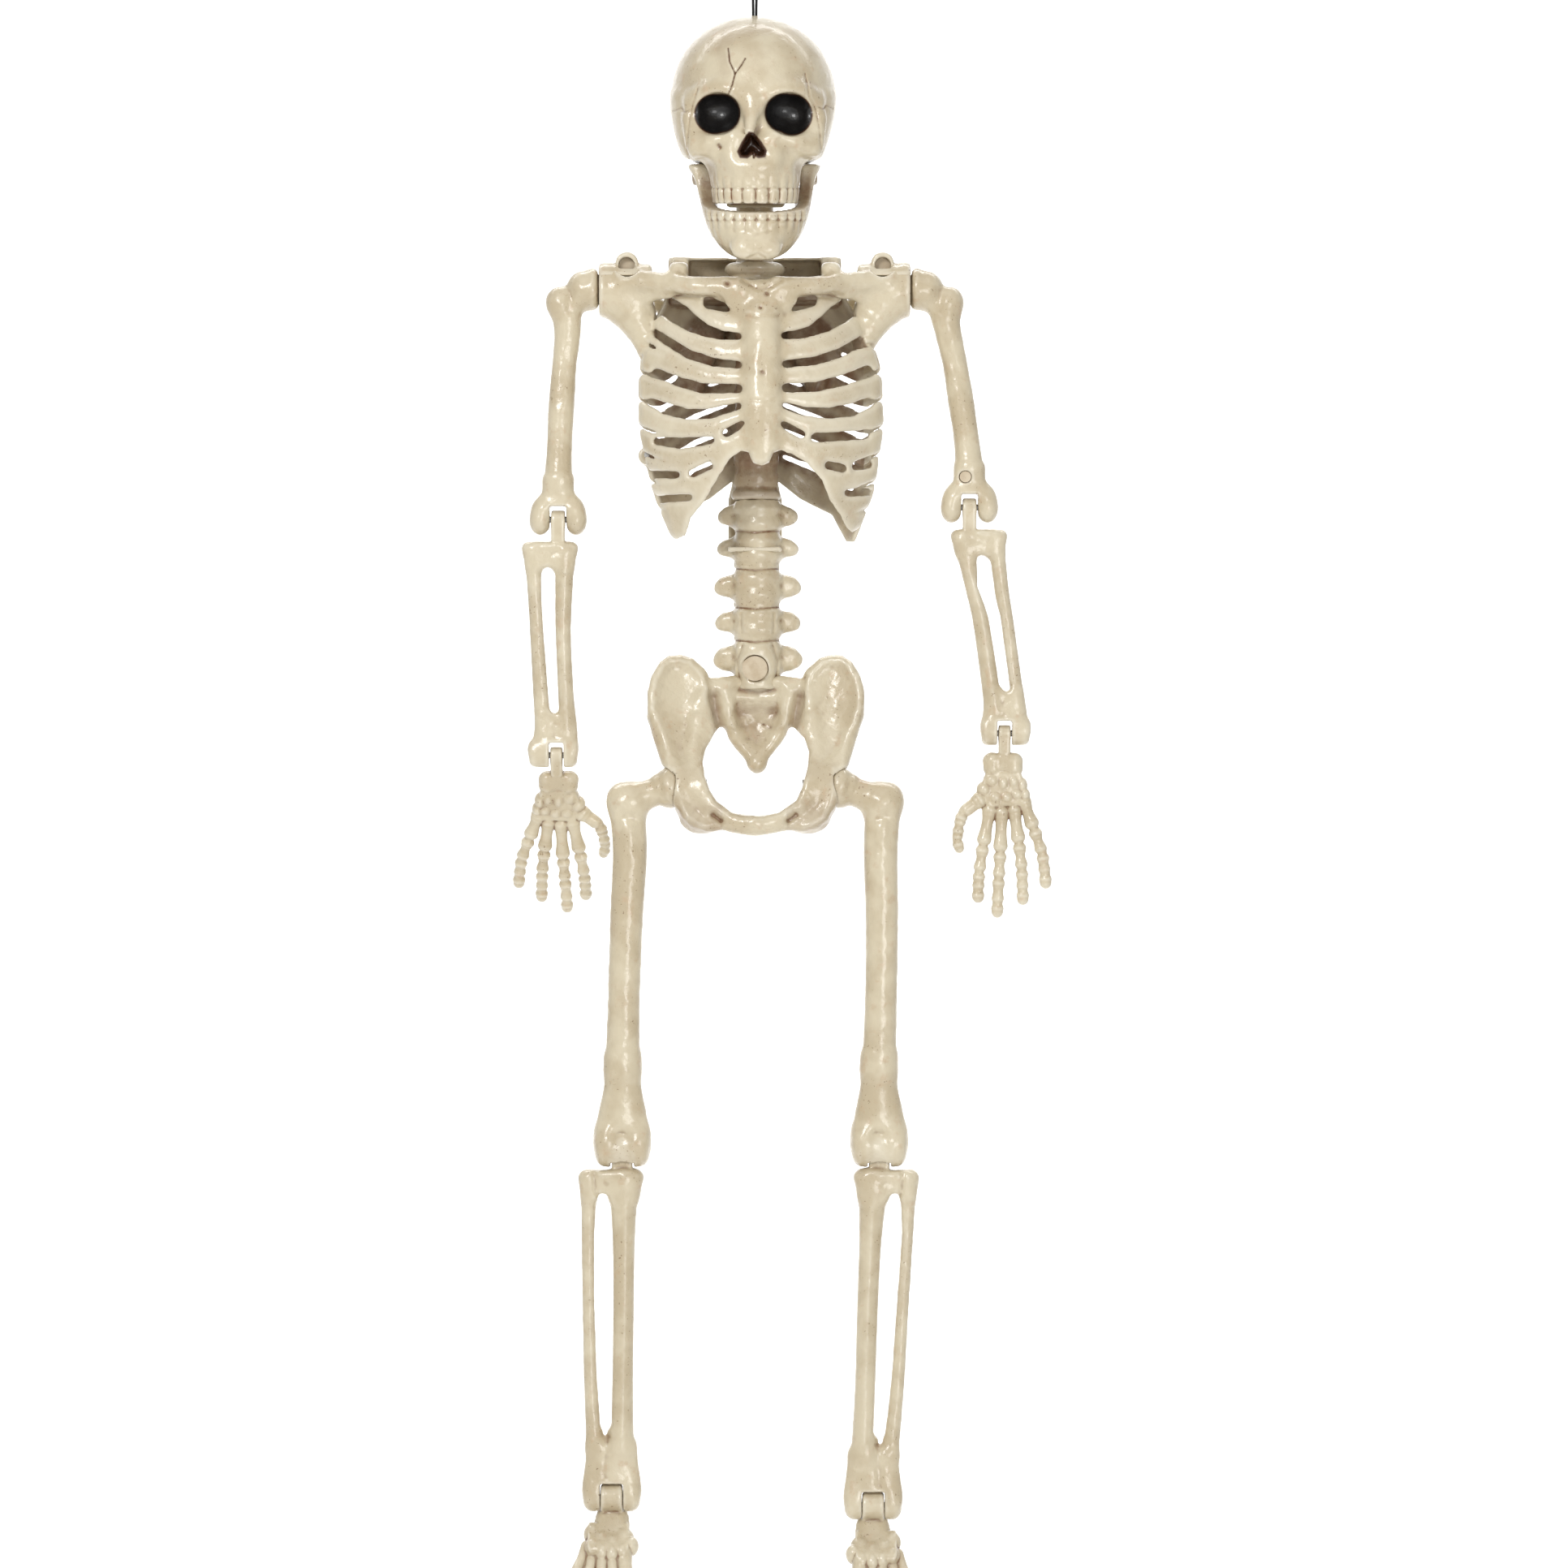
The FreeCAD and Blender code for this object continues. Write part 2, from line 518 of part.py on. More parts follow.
def tongue(x, z, spec, down):
    r, half = spec["tongue_r"], spec["tongue_w"] / 2
    return fuse(rod_x(x - half, x + half, 0, z, r), box(x - half, x + half, -r, r, z - down, z))


def hinge_pin(name, x, z, spec):
    half = spec["width"] / 2 - 0.4
    save(name, rod_x(x - half, x + half, 0, z, PIN_R))


# ---- arms ----
def humerus(name, arm):
    """Drawn on the +X side and mirrored for the right arm."""
    s = arm["side"]
    x0, ex, ez = abs(arm["shaft_x"]), abs(arm["elbow"][0]), arm["elbow"][1]
    y, z = SEAM_Y, SHOULDER_Z
    stub = rod_x(63.0, 93.0, y, z, STUB_R)
    flange = rod_x(63.0, 66.4, y, z, STUB_FLANGE_R)
    neck_cone = cone_between((90.0, y, z), (x0, y, z - 2.0), 10.8, 9.0)
    head = ball(x0, y, z - 4.0, 10.5)
    shaft = loft([(z - 4, 9.5, 9.5, x0 + 1.0, y), (z - 24, 7.0, 7.5, x0 * 0.86 + ex * 0.14, y),
                  ((z + ez) / 2, 7.2, 7.2, x0 * 0.45 + ex * 0.55, 1.0), (ez + 10.5, 8.6, 7.5, ex, 0.1)])
    taper = loft([(ez + 8.0, 15.2, 7.8, ex, 0), (ez + 18.0, 8.6, 7.4, ex, 0)])
    whole = fuse(stub, flange, neck_cone, head, shaft, fork(ex, ez, ELBOW, 9.0, 7.8), taper)
    px, pz = ex - 2.5, ez + 17.0
    plug = rod_y(px, 4.0, 7.0, pz, 3.2) if s < 0 else rod_y(px, -7.0, -4.0, pz, 3.2)
    hole = rod_y(px, 4.0, 30.0, pz, 3.2) if s < 0 else rod_y(px, -30.0, -4.0, pz, 3.2)
    bone = cut(whole, fork_slot(ex, ez, ELBOW), rod_x(ex - 20, ex + 20, 0, ez, PIN_R), hole)
    save("humerus_" + name, bone if s > 0 else mirrored(bone))
    save("humerus_plug_" + name, plug if s > 0 else mirrored(plug))
    hinge_pin("elbow_pin_" + name, s * ex, ez, ELBOW)


def forearm(name, arm):
    s = arm["side"]
    ex, ez = arm["elbow"]
    wx, wz = arm["wrist"]
    px, fx = arm["plate_x"], arm["fork_x"]
    z_plate, z_low = ez - 12.4, wz + 17.0
    root = tongue(ex, ez, ELBOW, 16.0).cut(rod_x(ex - 30, ex + 30, 0, ez, PIN_R + RUN))
    top = loft([(z_plate, 16.0, 6.6, px, 0), (z_plate - 6, 15.2, 6.4, px, 0), (z_plate - 17, 12.2, 5.4, px, 0)])
    mx = (px + wx) / 2
    z_mid = (z_plate + z_low) / 2
    outer = loft([(z_plate - 6, 4.4, 5.0, px + s * 10.0, 0), (z_mid, 4.0, 4.6, mx + s * 9.0, 0),
                  (z_low - 6, 4.8, 5.4, wx + s * 7.0, 0)])
    inner = loft([(z_plate - 6, 5.6, 5.2, px - s * 8.6, 0), (z_mid, 4.8, 4.8, mx - s * 5.6, 0),
                  (z_low - 6, 5.0, 5.4, wx - s * 6.0, 0)])
    low = loft([(z_low + 10, 9.6, 5.6, wx, 0), (z_low - 2, 11.0, 6.0, wx, 0), (wz + 6, 13.0, 6.6, fx, 0)])
    grip = fork(fx, wz, WRIST, 8.5, 6.4)
    whole = fuse(top, outer, inner, low, grip)
    whole = cut(whole, fork_slot(wx, wz, WRIST), rod_x(fx - 20, fx + 20, 0, wz, PIN_R))
    save("forearm_" + name, fuse(whole, root))
    half = WRIST["width"] / 2 - 0.4
    save("wrist_pin_" + name, rod_x(fx - half, fx + half, 0, wz, PIN_R))


# Fingers of the hand on the -X side, seen from the front: base, middle joint and tip measured
# from the wrist pin, with the radii at the base and the tip.
FINGERS = [
    ((6.0, -27.0), (22.0, -50.0), (21.0, -68.0), 3.4, 2.4),
    ((7.0, -36.0), (12.5, -66.0), (14.0, -93.0), 3.3, 2.2),
    ((2.0, -37.0), (3.0, -70.0), (3.2, -101.5), 3.3, 2.2),
    ((-3.5, -36.0), (-9.0, -66.0), (-12.0, -92.0), 3.3, 2.2),
    ((-8.0, -34.0), (-18.0, -60.0), (-23.0, -80.5), 3.1, 2.1),
]


def hand(name, arm):
    wx, wz = arm["wrist"]
    s = -arm["side"]
    root = tongue(wx, wz, WRIST, 13.0)
    block = loft([(wz - 10.8, 9.4, 4.4, wx, 0), (wz - 20, 9.6, 4.6, wx, 0),
                  (wz - 30, 12.6, 4.6, wx + s * 0.5, 0), (wz - 39, 12.0, 4.0, wx, 0)])
    pieces = []
    for base, middle, tip, r0, r1 in FINGERS:
        a = (wx + s * base[0], 0, wz + base[1])
        b = (wx + s * middle[0], -1.5, wz + middle[1])
        c = (wx + s * tip[0], 0.5, wz + tip[1])
        r_mid = (r0 + r1) / 2
        pieces += [cone_between(a, b, r0, r_mid), ball(*b, r_mid), cone_between(b, c, r_mid, r1),
                   ball(*c, r1)]
    whole = fuse(root, block, *pieces).cut(rod_x(wx - 20, wx + 20, 0, wz, PIN_R + RUN))
    save("hand_" + name, turned_x(whole, 0, wz, -arm["hand_bend"]))


# ---- legs ----
def femur(name, leg):
    """Drawn on the -X side and mirrored for the left leg."""
    s = leg["side"]
    xs = [-abs(x) for x in leg["shaft_x"]]
    kx = -abs(leg["knee_x"])
    stub = rod_x(-50.0, -34.4, HIP_Y, HIP_Z, HIP_STUB_R)
    collar = rod_x(-HIP_FACE_X - 4.0, -HIP_FACE_X - 0.4, HIP_Y, HIP_Z, 11.3)
    neck_cone = cone_between((-HIP_FACE_X - 3.0, HIP_Y, HIP_Z), (-62, HIP_Y, HIP_Z - 4), 11.2, 9.5)
    head = ball(xs[0], 0, HIP_Z - 8.5, 11.0)
    bridge = cone_between((-56, HIP_Y, HIP_Z - 3), (xs[0], 0, HIP_Z - 9), 9.8, 10.6)
    shaft = loft([(HIP_Z - 8, 10.4, 10.0, xs[0], 0), (-536, 9.8, 9.4, xs[1], -1.0),
                  (-577, 9.2, 9.0, xs[2], -3.0), (-617, 9.2, 9.0, xs[3], -3.5),
                  (-677, 10.2, 9.2, xs[4], -1.5), (-700, 14.0, 9.4, kx, 0.0)])
    knuckles = rod_x(kx - 16.4, kx + 16.4, 0, KNEE_Z, KNEE_R)
    whole = fuse(stub, neck_cone, collar, head, bridge, shaft, knuckles)
    half = KNEE_TONGUE_W / 2 + 0.5
    r = KNEE_TONGUE_R + 0.6
    slot = fuse(rod_x(kx - half, kx + half, 0, KNEE_Z, r),
                box(kx - half, kx + half, -5.8, 30, KNEE_Z - 20, KNEE_Z),
                box(kx - half, kx + half, 0, 30, KNEE_Z, KNEE_Z + r))
    relief = box(kx - 20, kx + 20, 8.2, 30, KNEE_Z, KNEE_Z + 30)
    bone = cut(whole, slot, relief, rod_x(kx - 20, kx + 20, 0, KNEE_Z, PIN_R),
               rod_x(-45.0, -30.0, HIP_Y, HIP_Z, 1.6))
    screw = fuse(rod_x(-45.0, -31.0, HIP_Y, HIP_Z, 1.6), rod_x(-30.6, -27.0, HIP_Y, HIP_Z, 4.8),
                 rod_x(-34.4, -30.6, HIP_Y, HIP_Z, 1.9))
    save("femur_" + name, bone if s < 0 else mirrored(bone))
    save("hip_screw_" + name, screw if s < 0 else mirrored(screw))
    save("knee_pin_" + name, rod_x(-s * kx - 16.0, -s * kx + 16.0, 0, KNEE_Z, PIN_R))


def lower_leg(name, leg):
    s = leg["side"]
    kx, px = leg["knee_x"], leg["plate_x"]
    ax, az = leg["ankle"]
    plate_z = KNEE_Z - 12.6
    half = KNEE_TONGUE_W / 2
    root = fuse(rod_x(kx - half, kx + half, 0, KNEE_Z, KNEE_TONGUE_R),
                box(kx - half, kx + half, -5.2, 5.2, KNEE_Z - 16, KNEE_Z))
    root = root.cut(rod_x(kx - 30, kx + 30, 0, KNEE_Z, PIN_R + RUN))
    top = loft([(plate_z, 18.2, 8.4, px, 0), (plate_z - 7, 17.6, 8.4, px, 0),
                (plate_z - 18, 14.4, 6.4, px, 0)])
    low_z = az + 30.0
    mid_z = (plate_z + low_z) / 2
    mx = (px + ax) / 2
    tibia = loft([(plate_z - 6, 8.0, 7.6, px - s * 8.0, 0), (mid_z, 6.2, 7.0, mx - s * 6.6, -1.0),
                  (low_z - 6, 7.0, 6.6, ax - s * 5.5, 0)])
    fibula = loft([(plate_z - 6, 4.4, 4.6, px + s * 13.0, 0), (mid_z, 3.8, 4.0, mx + s * 13.4, 1.0),
                   (low_z - 6, 4.4, 4.6, ax + s * 9.5, 0)])
    low = loft([(low_z + 4, 13.0, 6.0, ax, 0), (low_z - 8, 13.6, 6.4, ax, 0), (az + 7, 15.4, 7.0, ax, 0)])
    grip = fork(ax, az, ANKLE, 10.0, 6.9)
    whole = fuse(top, tibia, fibula, low, grip)
    whole = cut(whole, fork_slot(ax, az, ANKLE), rod_x(ax - 20, ax + 20, 0, az, PIN_R))
    save("lower_leg_" + name, fuse(whole, root))
    hinge_pin("ankle_pin_" + name, ax, az, ANKLE)


# Toes of the foot on the -X side, flat on the ground: x and y of the joint and of the tip, radius.
TOES = [
    (13.5, -62.0, 14.0, -84.0, 5.0),
    (5.0, -63.0, 5.5, -82.0, 3.6),
    (-2.5, -62.0, -2.5, -79.0, 3.4),
    (-9.5, -59.0, -10.0, -74.0, 3.2),
    (-16.5, -55.0, -17.5, -68.0, 3.0),
]
FOOT_DOWN = 40.0                # how far the toes point below level


def level_section(x, y, z, hx, hz):
    """An oval that faces forwards, for lofts that run from back to front."""
    grow = FreeCAD.Matrix()
    grow.scale(hx, hz, 1.0)
    grow.rotateX(math.radians(90))
    grow.move(V(x, y, z))
    return Part.Wire(Part.makeCircle(1.0).toNurbs().Edges[0].transformGeometry(grow))


def foot(name, leg):
    ax, az = leg["ankle"]
    s = -leg["side"]
    pivot = tongue(ax, az, ANKLE, 4.0)
    stem = loft([(az - 17, 10.5, 12, ax, -6), (az - 9.5, 8.0, 8.0, ax, -2), (az - 3, 5.8, 5.4, ax, 0)])
    heel = egg(ax, 4.0, az - 17.0, 9.0, 15.0, 8.0)
    sole = Part.makeLoft([level_section(ax, 2.0, az - 16.5, 9.5, 7.5),
                          level_section(ax + s * 1.0, -22, az - 15.5, 14, 7.5),
                          level_section(ax - s * 1.0, -48, az - 18.5, 19.5, 5.0),
                          level_section(ax - s * 1.0, -64, az - 20.5, 20.5, 3.8)], True, False)
    pieces = []
    for x0, y0, x1, y1, r in TOES:
        a = (ax + s * x0, y0 + 6, az - 20.0)
        b = (ax + s * x1, y1 + r, az - 21.0)
        pieces += [cone_between(a, b, r, r * 0.9), ball(*b, r * 0.9)]
    body = fuse(stem, heel, sole, *pieces)
    lobes = rod_x(ax - 20, ax + 20, 0, az, ANKLE["lobe_r"] + 0.8).cut(
        rod_x(ax - ANKLE["tongue_w"] / 2, ax + ANKLE["tongue_w"] / 2, 0, az, ANKLE["lobe_r"] + 0.9))
    whole = fuse(body.cut(lobes), pivot).cut(rod_x(ax - 20, ax + 20, 0, az, PIN_R + RUN))
    save("foot_" + name, turned_x(whole, 0, az, FOOT_DOWN))


skull_halves()
jaw()
neck()
hanging_cord()
ribcage()
pelvis(lumbar_spine())
for name, arm in ARMS.items():
    humerus(name, arm)
    forearm(name, arm)
    hand(name, arm)
for name, leg in LEGS.items():
    femur(name, leg)
    lower_leg(name, leg)
    foot(name, leg)
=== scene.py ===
import json
import math

import bpy
import numpy as np
import openvdb as vdb
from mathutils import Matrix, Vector


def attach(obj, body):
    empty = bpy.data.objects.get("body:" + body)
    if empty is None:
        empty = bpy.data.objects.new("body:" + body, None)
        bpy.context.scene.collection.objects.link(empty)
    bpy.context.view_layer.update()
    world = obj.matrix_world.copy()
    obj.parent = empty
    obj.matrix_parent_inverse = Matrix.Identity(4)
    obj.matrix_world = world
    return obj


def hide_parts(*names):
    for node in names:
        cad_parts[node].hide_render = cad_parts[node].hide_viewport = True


# Hanging skeleton figure. Shapes are sculpted in millimetres (x to its left hand, -y forwards,
# z up from the top of the hanging loop) and placed in metres.
MM = 0.001
FAR = 30.0                      # distance given to empty space
SEAM_Y = 2.0                    # plane where the two shells of the ribcage meet
SKULL_SEAM_Y = 14.0             # plane where the two shells of the skull meet
WAIST_Y = 26.0                  # depth of the axis the waist turns on
HIP_Z = -506.1                  # heights of the hip, shoulder and knee axes
SHOULDER_Z = -223.5
KNEE_Z = -709.4
FOOT_DOWN = 40.0                # degrees that the toes point below level
NECK = (0, 4)                   # x and y of the axis the neck turns on
SPINE = (0.8, WAIST_Y)          # x and y of the middle of the back's spine
PEG_X = 72.3                    # the two pegs on top of the shoulders
PEG_Z = -209.5
PIN_HOLE = 2.1                  # radius of the holes that the steel pins run in
CAMERA_X = 16.3
CAMERA_Y = -2960.0
CAMERA_Z = -504.0

ARMS = {
    "right": dict(side=-1, shaft_x=-107.0, elbow=(-111.3, -354.3), plate_x=-115.9,
                  fork_x=-114.1, wrist=(-112.3, -487.7), bend=30.0),
    "left": dict(side=1, shaft_x=109.5, elbow=(121.6, -347.4), plate_x=127.0,
                 fork_x=142.0, wrist=(141.4, -475.3), bend=0.0),
}
LEGS = {
    "right": dict(side=-1, shaft_x=(-72.0, -70.6, -72.5, -74.0, -74.8), knee_x=-75.0,
                  plate_x=-81.2, ankle=(-81.0, -907.7)),
    "left": dict(side=1, shaft_x=(72.5, 71.3, 72.0, 71.5, 70.3), knee_x=70.5,
                 plate_x=74.3, ankle=(67.0, -912.3)),
}

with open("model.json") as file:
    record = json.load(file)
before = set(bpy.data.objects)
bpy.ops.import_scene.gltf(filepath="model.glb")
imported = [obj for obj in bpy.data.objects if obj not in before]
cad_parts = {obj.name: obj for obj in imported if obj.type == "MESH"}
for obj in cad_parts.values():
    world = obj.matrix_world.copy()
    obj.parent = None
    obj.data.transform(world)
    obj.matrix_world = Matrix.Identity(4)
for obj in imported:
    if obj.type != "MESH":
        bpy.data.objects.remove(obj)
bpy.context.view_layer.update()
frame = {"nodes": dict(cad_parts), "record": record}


# ---- sculpting kit: every shape is (distance function, low corner, high corner) ----
def soft_min(a, b, k):
    if k <= 0:
        return np.minimum(a, b)
    h = np.maximum(k - np.abs(a - b), 0.0) / k
    return np.minimum(a, b) - h * h * k * 0.25


def soft_max(a, b, k):
    return -soft_min(-a, -b, k)


def rod(a, b, ra, rb=None, stretch=(1.0, 1.0, 1.0)):
    """A round-ended rod whose radius runs from ra to rb, drawn out along an axis by `stretch`."""
    rb = ra if rb is None else rb
    a, b, s = np.array(a, float), np.array(b, float), np.array(stretch, float)
    u = (b - a) / s
    length = float(u @ u) + 1e-9

    def distance(x, y, z):
        px, py, pz = (x - a[0]) / s[0], (y - a[1]) / s[1], (z - a[2]) / s[2]
        t = np.clip((px * u[0] + py * u[1] + pz * u[2]) / length, 0.0, 1.0)
        away = (px - t * u[0]) ** 2 + (py - t * u[1]) ** 2 + (pz - t * u[2]) ** 2
        return np.sqrt(away) - (ra + t * (rb - ra))

    reach = max(ra, rb) * s
    return distance, np.minimum(a, b) - reach, np.maximum(a, b) + reach


def bone_run(points, stretch=(1.0, 1.0, 1.0)):
    """One smooth bone through points given as (x, y, z, radius)."""
    nodes = np.array(points, float)
    if len(nodes) > 2:
        ends = np.vstack([2 * nodes[0] - nodes[1], nodes, 2 * nodes[-1] - nodes[-2]])
        fine = []
        for p, q, r, v in zip(ends, ends[1:], ends[2:], ends[3:]):
            for t in (0.0, 1 / 3, 2 / 3):
                bend, twist = 2 * p - 5 * q + 4 * r - v, 3 * q - p - 3 * r + v
                fine.append(q + 0.5 * t * ((r - p) + t * (bend + t * twist)))
        nodes = np.array(fine + [nodes[-1]])
    parts = [rod(p[:3], q[:3], p[3], q[3], stretch) for p, q in zip(nodes, nodes[1:])]

    def distance(x, y, z):
        nearest = parts[0][0](x, y, z)
        for part in parts[1:]:
            nearest = np.minimum(nearest, part[0](x, y, z))
        return nearest

    low = np.min([part[1] for part in parts], axis=0)
    high = np.max([part[2] for part in parts], axis=0)
    return distance, low, high


def egg(centre, radii):
    c, r = np.array(centre, float), np.array(radii, float)

    def distance(x, y, z):
        px, py, pz = x - c[0], y - c[1], z - c[2]
        k0 = np.sqrt((px / r[0]) ** 2 + (py / r[1]) ** 2 + (pz / r[2]) ** 2)
        k1 = np.sqrt((px / r[0] ** 2) ** 2 + (py / r[1] ** 2) ** 2 + (pz / r[2] ** 2) ** 2)
        return k0 * (k0 - 1.0) / np.maximum(k1, 1e-4)

    return distance, c - r, c + r


def eased(z, rows, column):
    """A value read off rows sorted by falling z, eased between them."""
    zs = np.array([row[0] for row in rows])[::-1]
    vs = np.array([row[column] for row in rows])[::-1]
    slopes = np.gradient(vs, zs)
    i = np.clip(np.searchsorted(zs, z) - 1, 0, len(zs) - 2)
    gap = zs[i + 1] - zs[i]
    t = np.clip((z - zs[i]) / gap, 0.0, 1.0)
    a, b = vs[i], vs[i + 1]
    ma, mb = slopes[i] * gap, slopes[i + 1] * gap
    return ((2 * t ** 3 - 3 * t ** 2 + 1) * a + (t ** 3 - 2 * t ** 2 + t) * ma
            + (-2 * t ** 3 + 3 * t ** 2) * b + (t ** 3 - t ** 2) * mb)


def column(rows, rounding=1.5, power=2.0):
    """An upright form through rows of (z, centre x, centre y, half width, half depth)."""
    top, bottom = rows[0][0], rows[-1][0]

    def distance(x, y, z):
        cx, cy = eased(z, rows, 1), eased(z, rows, 2)
        rx, ry = np.maximum(eased(z, rows, 3), 0.3), np.maximum(eased(z, rows, 4), 0.3)
        px, py = np.abs(x - cx) / rx, np.abs(y - cy) / ry
        k = (px ** power + py ** power) ** (1.0 / power)
        grad = np.sqrt((px / rx) ** 2 + (py / ry) ** 2) / np.maximum(k, 1e-3)
        side = (k - 1.0) / np.maximum(grad, 1e-3)
        return soft_max(side, np.abs(z - (top + bottom) / 2) - (top - bottom) / 2, rounding * 2)

    wide = max(row[3] for row in rows)
    deep = max(row[4] for row in rows)
    xs, ys = [row[1] for row in rows], [row[2] for row in rows]
    low = np.array([min(xs) - wide, min(ys) - deep, bottom])
    return distance, low, np.array([max(xs) + wide, max(ys) + deep, top])


def path_distance(u, v, points):
    """Distance to a line through (u, v) or (u, v, half width) points in a plane."""
    best = None
    for p, q in zip(points, points[1:]):
        du, dv = q[0] - p[0], q[1] - p[1]
        t = np.clip(((u - p[0]) * du + (v - p[1]) * dv) / (du * du + dv * dv), 0.0, 1.0)
        d = np.sqrt((u - p[0] - t * du) ** 2 + (v - p[1] - t * dv) ** 2)
        if len(p) > 2:
            d = d - (p[2] + t * (q[2] - p[2]))
        best = d if best is None else np.minimum(best, d)
    return best


def outline_distance(u, v, points):
    """Distance to a closed outline in a plane, negative inside it."""
    closed = list(points) + [points[0]]
    d = path_distance(u, v, closed)
    inside = np.zeros(np.broadcast(u, v).shape, bool)
    for (u0, v0), (u1, v1) in zip(closed, closed[1:]):
        if v0 == v1:
            continue
        crosses = (v0 > v) != (v1 > v)
        inside ^= crosses & (u < (u1 - u0) * (v - v0) / (v1 - v0) + u0)
    return np.where(inside, -d, d)


def corners(points, y0, y1):
    us, vs = [p[0] for p in points], [p[1] for p in points]
    return np.array([min(us), y0, min(vs)]), np.array([max(us), y1, max(vs)])


def plate(points, y0, y1, rounding=1.0, shrink=0.0):
    """An outline of (x, z) points seen from the front, from depth y0 to y1. It closes in by
    `shrink` for every millimetre of depth."""
    def distance(x, y, z):
        d = outline_distance(x, z, points) + shrink * (y - y0)
        return soft_max(d, np.abs(y - (y0 + y1) / 2) - (y1 - y0) / 2, rounding * 2)

    low, high = corners(points, y0, y1)
    return distance, low, high


def slot(points, y0, y1):
    """A slot along (x, z, half width) points, cut from depth y0 to y1."""
    def distance(x, y, z):
        return np.maximum(path_distance(x, z, points), np.abs(y - (y0 + y1) / 2) - (y1 - y0) / 2)

    low, high = corners(points, y0, y1)
    wide = max(p[2] for p in points)
    pad = np.array([wide, 0, wide])
    return distance, low - pad, high + pad


def block(x0, x1, y0, y1, z0, z1, rounding=0.8):
    def distance(x, y, z):
        dx = np.abs(x - (x0 + x1) / 2) - (x1 - x0) / 2
        dy = np.abs(y - (y0 + y1) / 2) - (y1 - y0) / 2
        dz = np.abs(z - (z0 + z1) / 2) - (z1 - z0) / 2
        return soft_max(soft_max(dx, dy, rounding * 2), dz, rounding * 2)

    return distance, np.array([x0, y0, z0]), np.array([x1, y1, z1])


def side_block(s, near, far, *rest):
    """A block on side s (-1 or 1) of the figure, reaching across from `near` to `far`."""
    x0, x1 = sorted((s * near, s * far))
    return block(x0, x1, *rest)


def drum(axis, a0, a1, centre, radius, rounding=0.8, end_radius=None):
    """A disc, barrel or cone along an axis (0 x, 1 y, 2 z); `centre` holds the other two coordinates."""
    end_radius = radius if end_radius is None else end_radius
    others = [i for i in range(3) if i != axis]

    def distance(x, y, z):
        p = (x, y, z)
        away = np.sqrt((p[others[0]] - centre[0]) ** 2 + (p[others[1]] - centre[1]) ** 2)
        t = np.clip((p[axis] - a0) / (a1 - a0), 0.0, 1.0)
        mid, half = (a0 + a1) / 2, abs(a1 - a0) / 2
        return soft_max(away - (radius + t * (end_radius - radius)), np.abs(p[axis] - mid) - half,
                        rounding * 2)

    big = max(radius, end_radius)
    low, high = np.zeros(3), np.zeros(3)
    low[axis], high[axis] = min(a0, a1), max(a0, a1)
    for i, c in zip(others, centre):
        low[i], high[i] = c - big, c + big
    return distance, low, high


def blurred(field, n):
    """The field averaged over a cube reaching n steps each way."""
    for axis in range(3):
        pad = [(0, 0)] * 3
        pad[axis] = (n + 1, n)
        total = np.cumsum(np.pad(field, pad, mode="edge"), axis=axis, dtype=np.float32)
        size = total.shape[axis]
        late = np.take(total, np.arange(2 * n + 1, size), axis=axis)
        early = np.take(total, np.arange(0, size - 2 * n - 1), axis=axis)
        field = (late - early) / (2 * n + 1)
    return field


def sampled(field, points):
    """Field values at points given in steps."""
    base = np.clip(np.floor(points).astype(int), 0, np.array(field.shape) - 2)
    t = (points - base).astype(np.float32)
    total = np.zeros(len(points), np.float32)
    for i in (0, 1):
        for j in (0, 1):
            for k in (0, 1):
                weight = ((t[:, 0] if i else 1 - t[:, 0]) * (t[:, 1] if j else 1 - t[:, 1])
                          * (t[:, 2] if k else 1 - t[:, 2]))
                total += weight * field[base[:, 0] + i, base[:, 1] + j, base[:, 2] + k]
    return total


